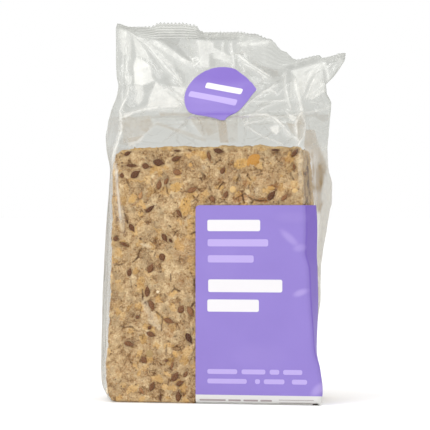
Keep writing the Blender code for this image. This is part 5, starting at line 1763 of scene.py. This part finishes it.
# How much lower the foot hangs towards the right
STICKER_FOOT_STRETCH = 0.23
STICKER_GAP = 0.6
STICKER_BARS = [
    (PRINT_WHITE, [(-8.6, 9.6, 3.0, 6.4)]),
    (PRINT_LILAC_AND_SHEEN, [(-14.6, 9.2, -3.8, -0.4)]),
]
# How far the sticker's bars lean, in degrees
STICKER_SLANT = -14


def soft_spots(across, up, spots):
    """The strongest of several soft ovals, each with its half sizes and its lean in degrees."""
    strongest = np.zeros(np.shape(across))
    for *centre, half_long, half_wide, lean, strength in spots:
        far = oval_distance(across, up, centre, half_long, half_wide, lean)
        strongest = np.maximum(strongest, strength * (1 - ease(0.3, 1.25, far)))
    return strongest


def sheet_piece(name, patches, gap, material):
    """A thin closed sheet from patches.

    Each has grids of surface points, outward directions, print places, shade and sheen.
    """
    gathered, prints = Gathered(), []
    for surface, outward, print_places, shade, sheen in patches:
        outer = np.arange(shade.size).reshape(shade.shape)
        inner_faces = [face[::-1] for face in grid_faces(outer + outer.size)]
        rim = np.concatenate([outer[0, :-1], outer[:-1, -1], outer[-1, :0:-1], outer[:0:-1, 0]])
        under = rim + outer.size
        walls = np.stack([np.roll(rim, -1), rim, under, np.roll(under, -1)], axis=-1).tolist()
        layers = [(surface + outward * far).reshape(-1, 3) for far in (gap + PAPER_THICKNESS, gap)]
        gathered.add(np.concatenate(layers), grid_faces(outer) + inner_faces + walls,
                     shade=np.tile(shade.ravel(), 2), sheen=np.tile(sheen.ravel(), 2))
        prints += [print_places.reshape(-1, 2)] * 2
    piece = gathered.make_piece(name, material)
    layer = piece.data.uv_layers.new(name="print")
    corners = np.zeros(len(piece.data.loops), int)
    piece.data.loops.foreach_get("vertex_index", corners)
    layer.data.foreach_set("uv", np.concatenate(prints)[corners].astype(np.float32).ravel())
    piece.data.set_sharp_from_angle(angle=math.radians(40))
    return piece


def paper_swell(across, up, seed):
    """How far the paper stands off the film: slow waves and a few soft dents."""
    spots = np.stack([across / 17, up / 13, across * 0 + seed], axis=-1)
    return 0.16 * (1 + layered_noise(spots, seed, 2))


def label_walls():
    """The label on the front and the right side, as a patch of its sheet."""
    levels = np.linspace(0.7, LABEL_HEIGHT, 151)
    bite = np.maximum(LABEL_CORNER - (LABEL_HEIGHT - levels), 0)
    start = (LABEL_CORNER - np.sqrt(np.maximum(LABEL_CORNER**2 - bite**2, 0))) / PANEL_WIDTH
    shares = np.concatenate([np.linspace(0, 0.985, 121)[:-1], np.linspace(0.985, 1, 8)])
    side = np.concatenate([np.linspace(0, 0.12, 9)[1:], np.linspace(0.12, LABEL_SIDE_SHARE, 26)[1:]])
    narrower = np.interp(levels, LABEL_SIDE_LEVELS, LABEL_SIDE_SHARES)[:, None] / LABEL_SIDE_SHARE
    first = (1 + LABEL_LEFT_SHARE + start)[:, None]
    places = np.concatenate([blend(first, 2.0, shares), 2 + side * narrower], axis=1)
    # One more row below, which is only there for the directions
    surface = film_points(np.concatenate([[0.3], levels]), np.concatenate([places[:1], places]), -1)
    outward = grid_normals(surface)[1:]
    surface = surface[1:]
    lengths = np.linalg.norm(np.diff(surface, axis=1), axis=-1)
    across = surface[:, :1, 0] - LABEL_LEFT + np.cumsum(np.pad(lengths, ((0, 0), (1, 0))), axis=1)
    up = np.broadcast_to(levels[:, None], across.shape)
    to_rim = np.minimum(np.minimum(across + 1, 70 - across), LABEL_HEIGHT - up + 1)
    swell = paper_swell(across, up, 61) * clamp01(to_rim / 6) * clamp01(up / 6)
    surface = surface + outward * swell[..., None]
    prints = np.stack([across, up], axis=-1)
    shade = ease(1.985, 2.03, places) * blend(0.25, 1.0, ease(6.0, 22.0, up))
    return surface, outward, prints, shade, soft_spots(across, up, LABEL_SHINES)


def label_under():
    """The label under the base and on the curve up to the front, as a patch of its sheet."""
    places = np.linspace(1 + LABEL_LEFT_SHARE, 2 - CORNER_SHARE, 60)
    edge, opposite = (film_points(np.array([0.0]), places, side)[0] for side in (-1, 1))
    slant = (opposite[:, 0] - edge[:, 0]) / (opposite[:, 1] - edge[:, 1])
    away = np.linspace(0, LABEL_UNDER, 24)[::-1, None]
    across, ahead = edge[:, 0] + slant * away, edge[:, 1] + away
    flat = np.stack(np.broadcast_arrays(across, ahead, LABEL_RECESS), axis=-1)
    down = np.zeros_like(flat)
    down[..., 2] = -UNDER_DROP
    down[-1, :, 1] = -1
    # The last level is only there for the directions
    levels = np.array([0.0, 0.2, 0.45, 0.7, 0.9])
    curve = film_points(levels, places, -1)
    surface = np.concatenate([flat, curve[1:4]])
    outward = np.concatenate([down, grid_normals(curve)[1:4]])
    up = np.concatenate([-away, levels[1:4, None]])
    prints = np.stack(np.broadcast_arrays(edge[:, 0] - LABEL_LEFT, up), axis=-1)
    plain = np.zeros(surface.shape[:2])
    return surface, outward, prints, plain, plain


def make_label(material):
    return sheet_piece("label_sheet", [label_walls(), label_under()], PAPER_GAP, material)


def make_sticker(material):
    fine = np.arange(126.0, 160.0, 0.2)
    spine = film_points(fine, np.array([1.5]), -1)[:, 0]
    arcs = np.concatenate([[0], np.cumsum(np.linalg.norm(np.diff(spine, axis=0), axis=1))])
    centre_arc = np.interp(STICKER_CENTRE[1], fine, arcs)
    ups = -STICKER_RADIUS * np.cos(np.linspace(0.06, math.pi - 0.06, 110))
    half = np.sqrt(STICKER_RADIUS**2 - ups**2)
    edge_ups, edge_ends = zip(*STICKER_RIGHT_EDGE)
    at_fold = np.minimum(np.interp(ups, edge_ups, edge_ends), half + 1.0)
    right_end = np.where(ups > edge_ups[-1], half, at_fold)
    across = blend(-half[:, None], right_end[:, None], np.linspace(0, 1, 80))
    up = np.broadcast_to(ups[:, None], across.shape)
    up = np.where(up < 0, up * (1 + STICKER_FOOT_STRETCH * ease(-7, 5, across)), up)
    levels = np.interp(centre_arc + up, arcs, fine).ravel()
    sections = spline_rows(SECTIONS, levels)
    on_bag = STICKER_CENTRE[0] + across.ravel()
    places = place_across(on_bag, sections[:, LEFT_CORNER], sections[:, RIGHT_CORNER])
    surface = film_points(levels, places[:, None], -1).reshape(*across.shape, 3)
    outward = grid_normals(surface)
    prints = np.stack(turned(across, up, STICKER_SLANT), axis=-1)
    surface = surface + outward * 0.8 * paper_swell(prints[..., 0], prints[..., 1], 71)[..., None]
    shade = blend(soft_spots(across, up, STICKER_SHADES), 1.0, 0.22)
    sheen = soft_spots(across, up, STICKER_SHINES)
    return sheet_piece("sticker_sheet", [(surface, outward, prints, shade, sheen)], STICKER_GAP, material)


# Studio

FLOOR_HALF = 40000.0
LIGHT_TARGET = (0, 0, 90)
# Area lights: name, place, width and height in millimetres, power
LIGHTS = [
    ("key", (-750, -900, 900), (420, 420), 3.0), ("strip_left", (-900, -120, 300), (120, 800), 1.6),
    ("strip_right", (850, -350, 350), (80, 800), 1.0), ("top", (100, -150, 1100), (500, 300), 1.8),
]
# A wide soft sun: its power, its spread in degrees and the way it shines
SUN_POWER, SUN_SPREAD, SUN_DIRECTION = 0.9, 60, (0.62, 0.52, -0.58)


def make_floor(material):
    half = FLOOR_HALF
    points = [(-half, -half, 0), (half, -half, 0), (half, half, 0), (-half, half, 0)]
    floor = make_piece("floor", points, [[0, 1, 2, 3]], material)


def add_light(data, place, direction):
    """Puts a light at a place in millimetres and turns it to face a direction."""
    light = bpy.data.objects.new(data.name, data)
    light.location = [v * MM for v in place]
    light.rotation_euler = mathutils.Vector(direction).to_track_quat("-Z", "Y").to_euler()
    bpy.context.scene.collection.objects.link(light)


def make_studio():
    world = bpy.data.worlds.new("studio")
    bpy.context.scene.world = world
    world.use_nodes = True
    background = world.node_tree.nodes["Background"]
    background.inputs["Color"].default_value = (1.0, 1.0, 1.0, 1.0)
    background.inputs["Strength"].default_value = 1.0
    for name, place, size, power in LIGHTS:
        data = bpy.data.lights.new(name, "AREA")
        data.shape = "RECTANGLE"
        data.size, data.size_y = size[0] * MM, size[1] * MM
        data.energy = power
        add_light(data, place, np.subtract(LIGHT_TARGET, place))
    sun = bpy.data.lights.new("sun", "SUN")
    sun.energy = SUN_POWER
    sun.angle = math.radians(SUN_SPREAD)
    add_light(sun, (0, 0, 0), SUN_DIRECTION)
    bpy.context.scene.view_settings.view_transform = "Standard"


def make_camera():
    data = bpy.data.cameras.new("camera")
    data.sensor_width = SENSOR_WIDTH
    data.lens = PIXELS_PER_SLOPE * SENSOR_WIDTH / IMAGE_SIDE
    data.clip_end = 50
    camera = bpy.data.objects.new("camera", data)
    camera.location = [v * MM for v in CAMERA_PLACE]
    camera.rotation_euler = (math.pi / 2, 0, CAMERA_TURN)
    bpy.context.scene.collection.objects.link(camera)
    bpy.context.scene.camera = camera


def main():
    random = np.random.default_rng(FOOD_SEED)
    make_camera()
    make_studio()
    make_floor(floor_material())

    film = make_film(film_material())
    finish_piece(film, "film", "bag")

    bread = bread_material()
    shapes = [SliceShape(number, random) for number in range(SLICE_COUNT)]
    for shape in shapes:
        first, last = shape.number == 0, shape.number == SLICE_COUNT - 1
        step = 0.4 if first else 0.8
        piece = make_slice(shape, step, bread, first, last)
        finish_piece(piece, "crispbread", "bag")
    linseeds, kernels = make_seeds(shapes, random, seed_material(), kernel_material())
    finish_piece(linseeds, "seeds", "bag")
    finish_piece(kernels, "seeds", "bag")
    finish_piece(make_crumbs(random, bread), "crispbread", "bag")

    label = make_label(paper_material("label_print", LABEL_BARS, BAND_BARS))
    finish_piece(label, "label_paper", "label")
    sticker = make_sticker(paper_material("sticker_print", STICKER_BARS))
    finish_piece(sticker, "sticker_paper", "sticker")


main()
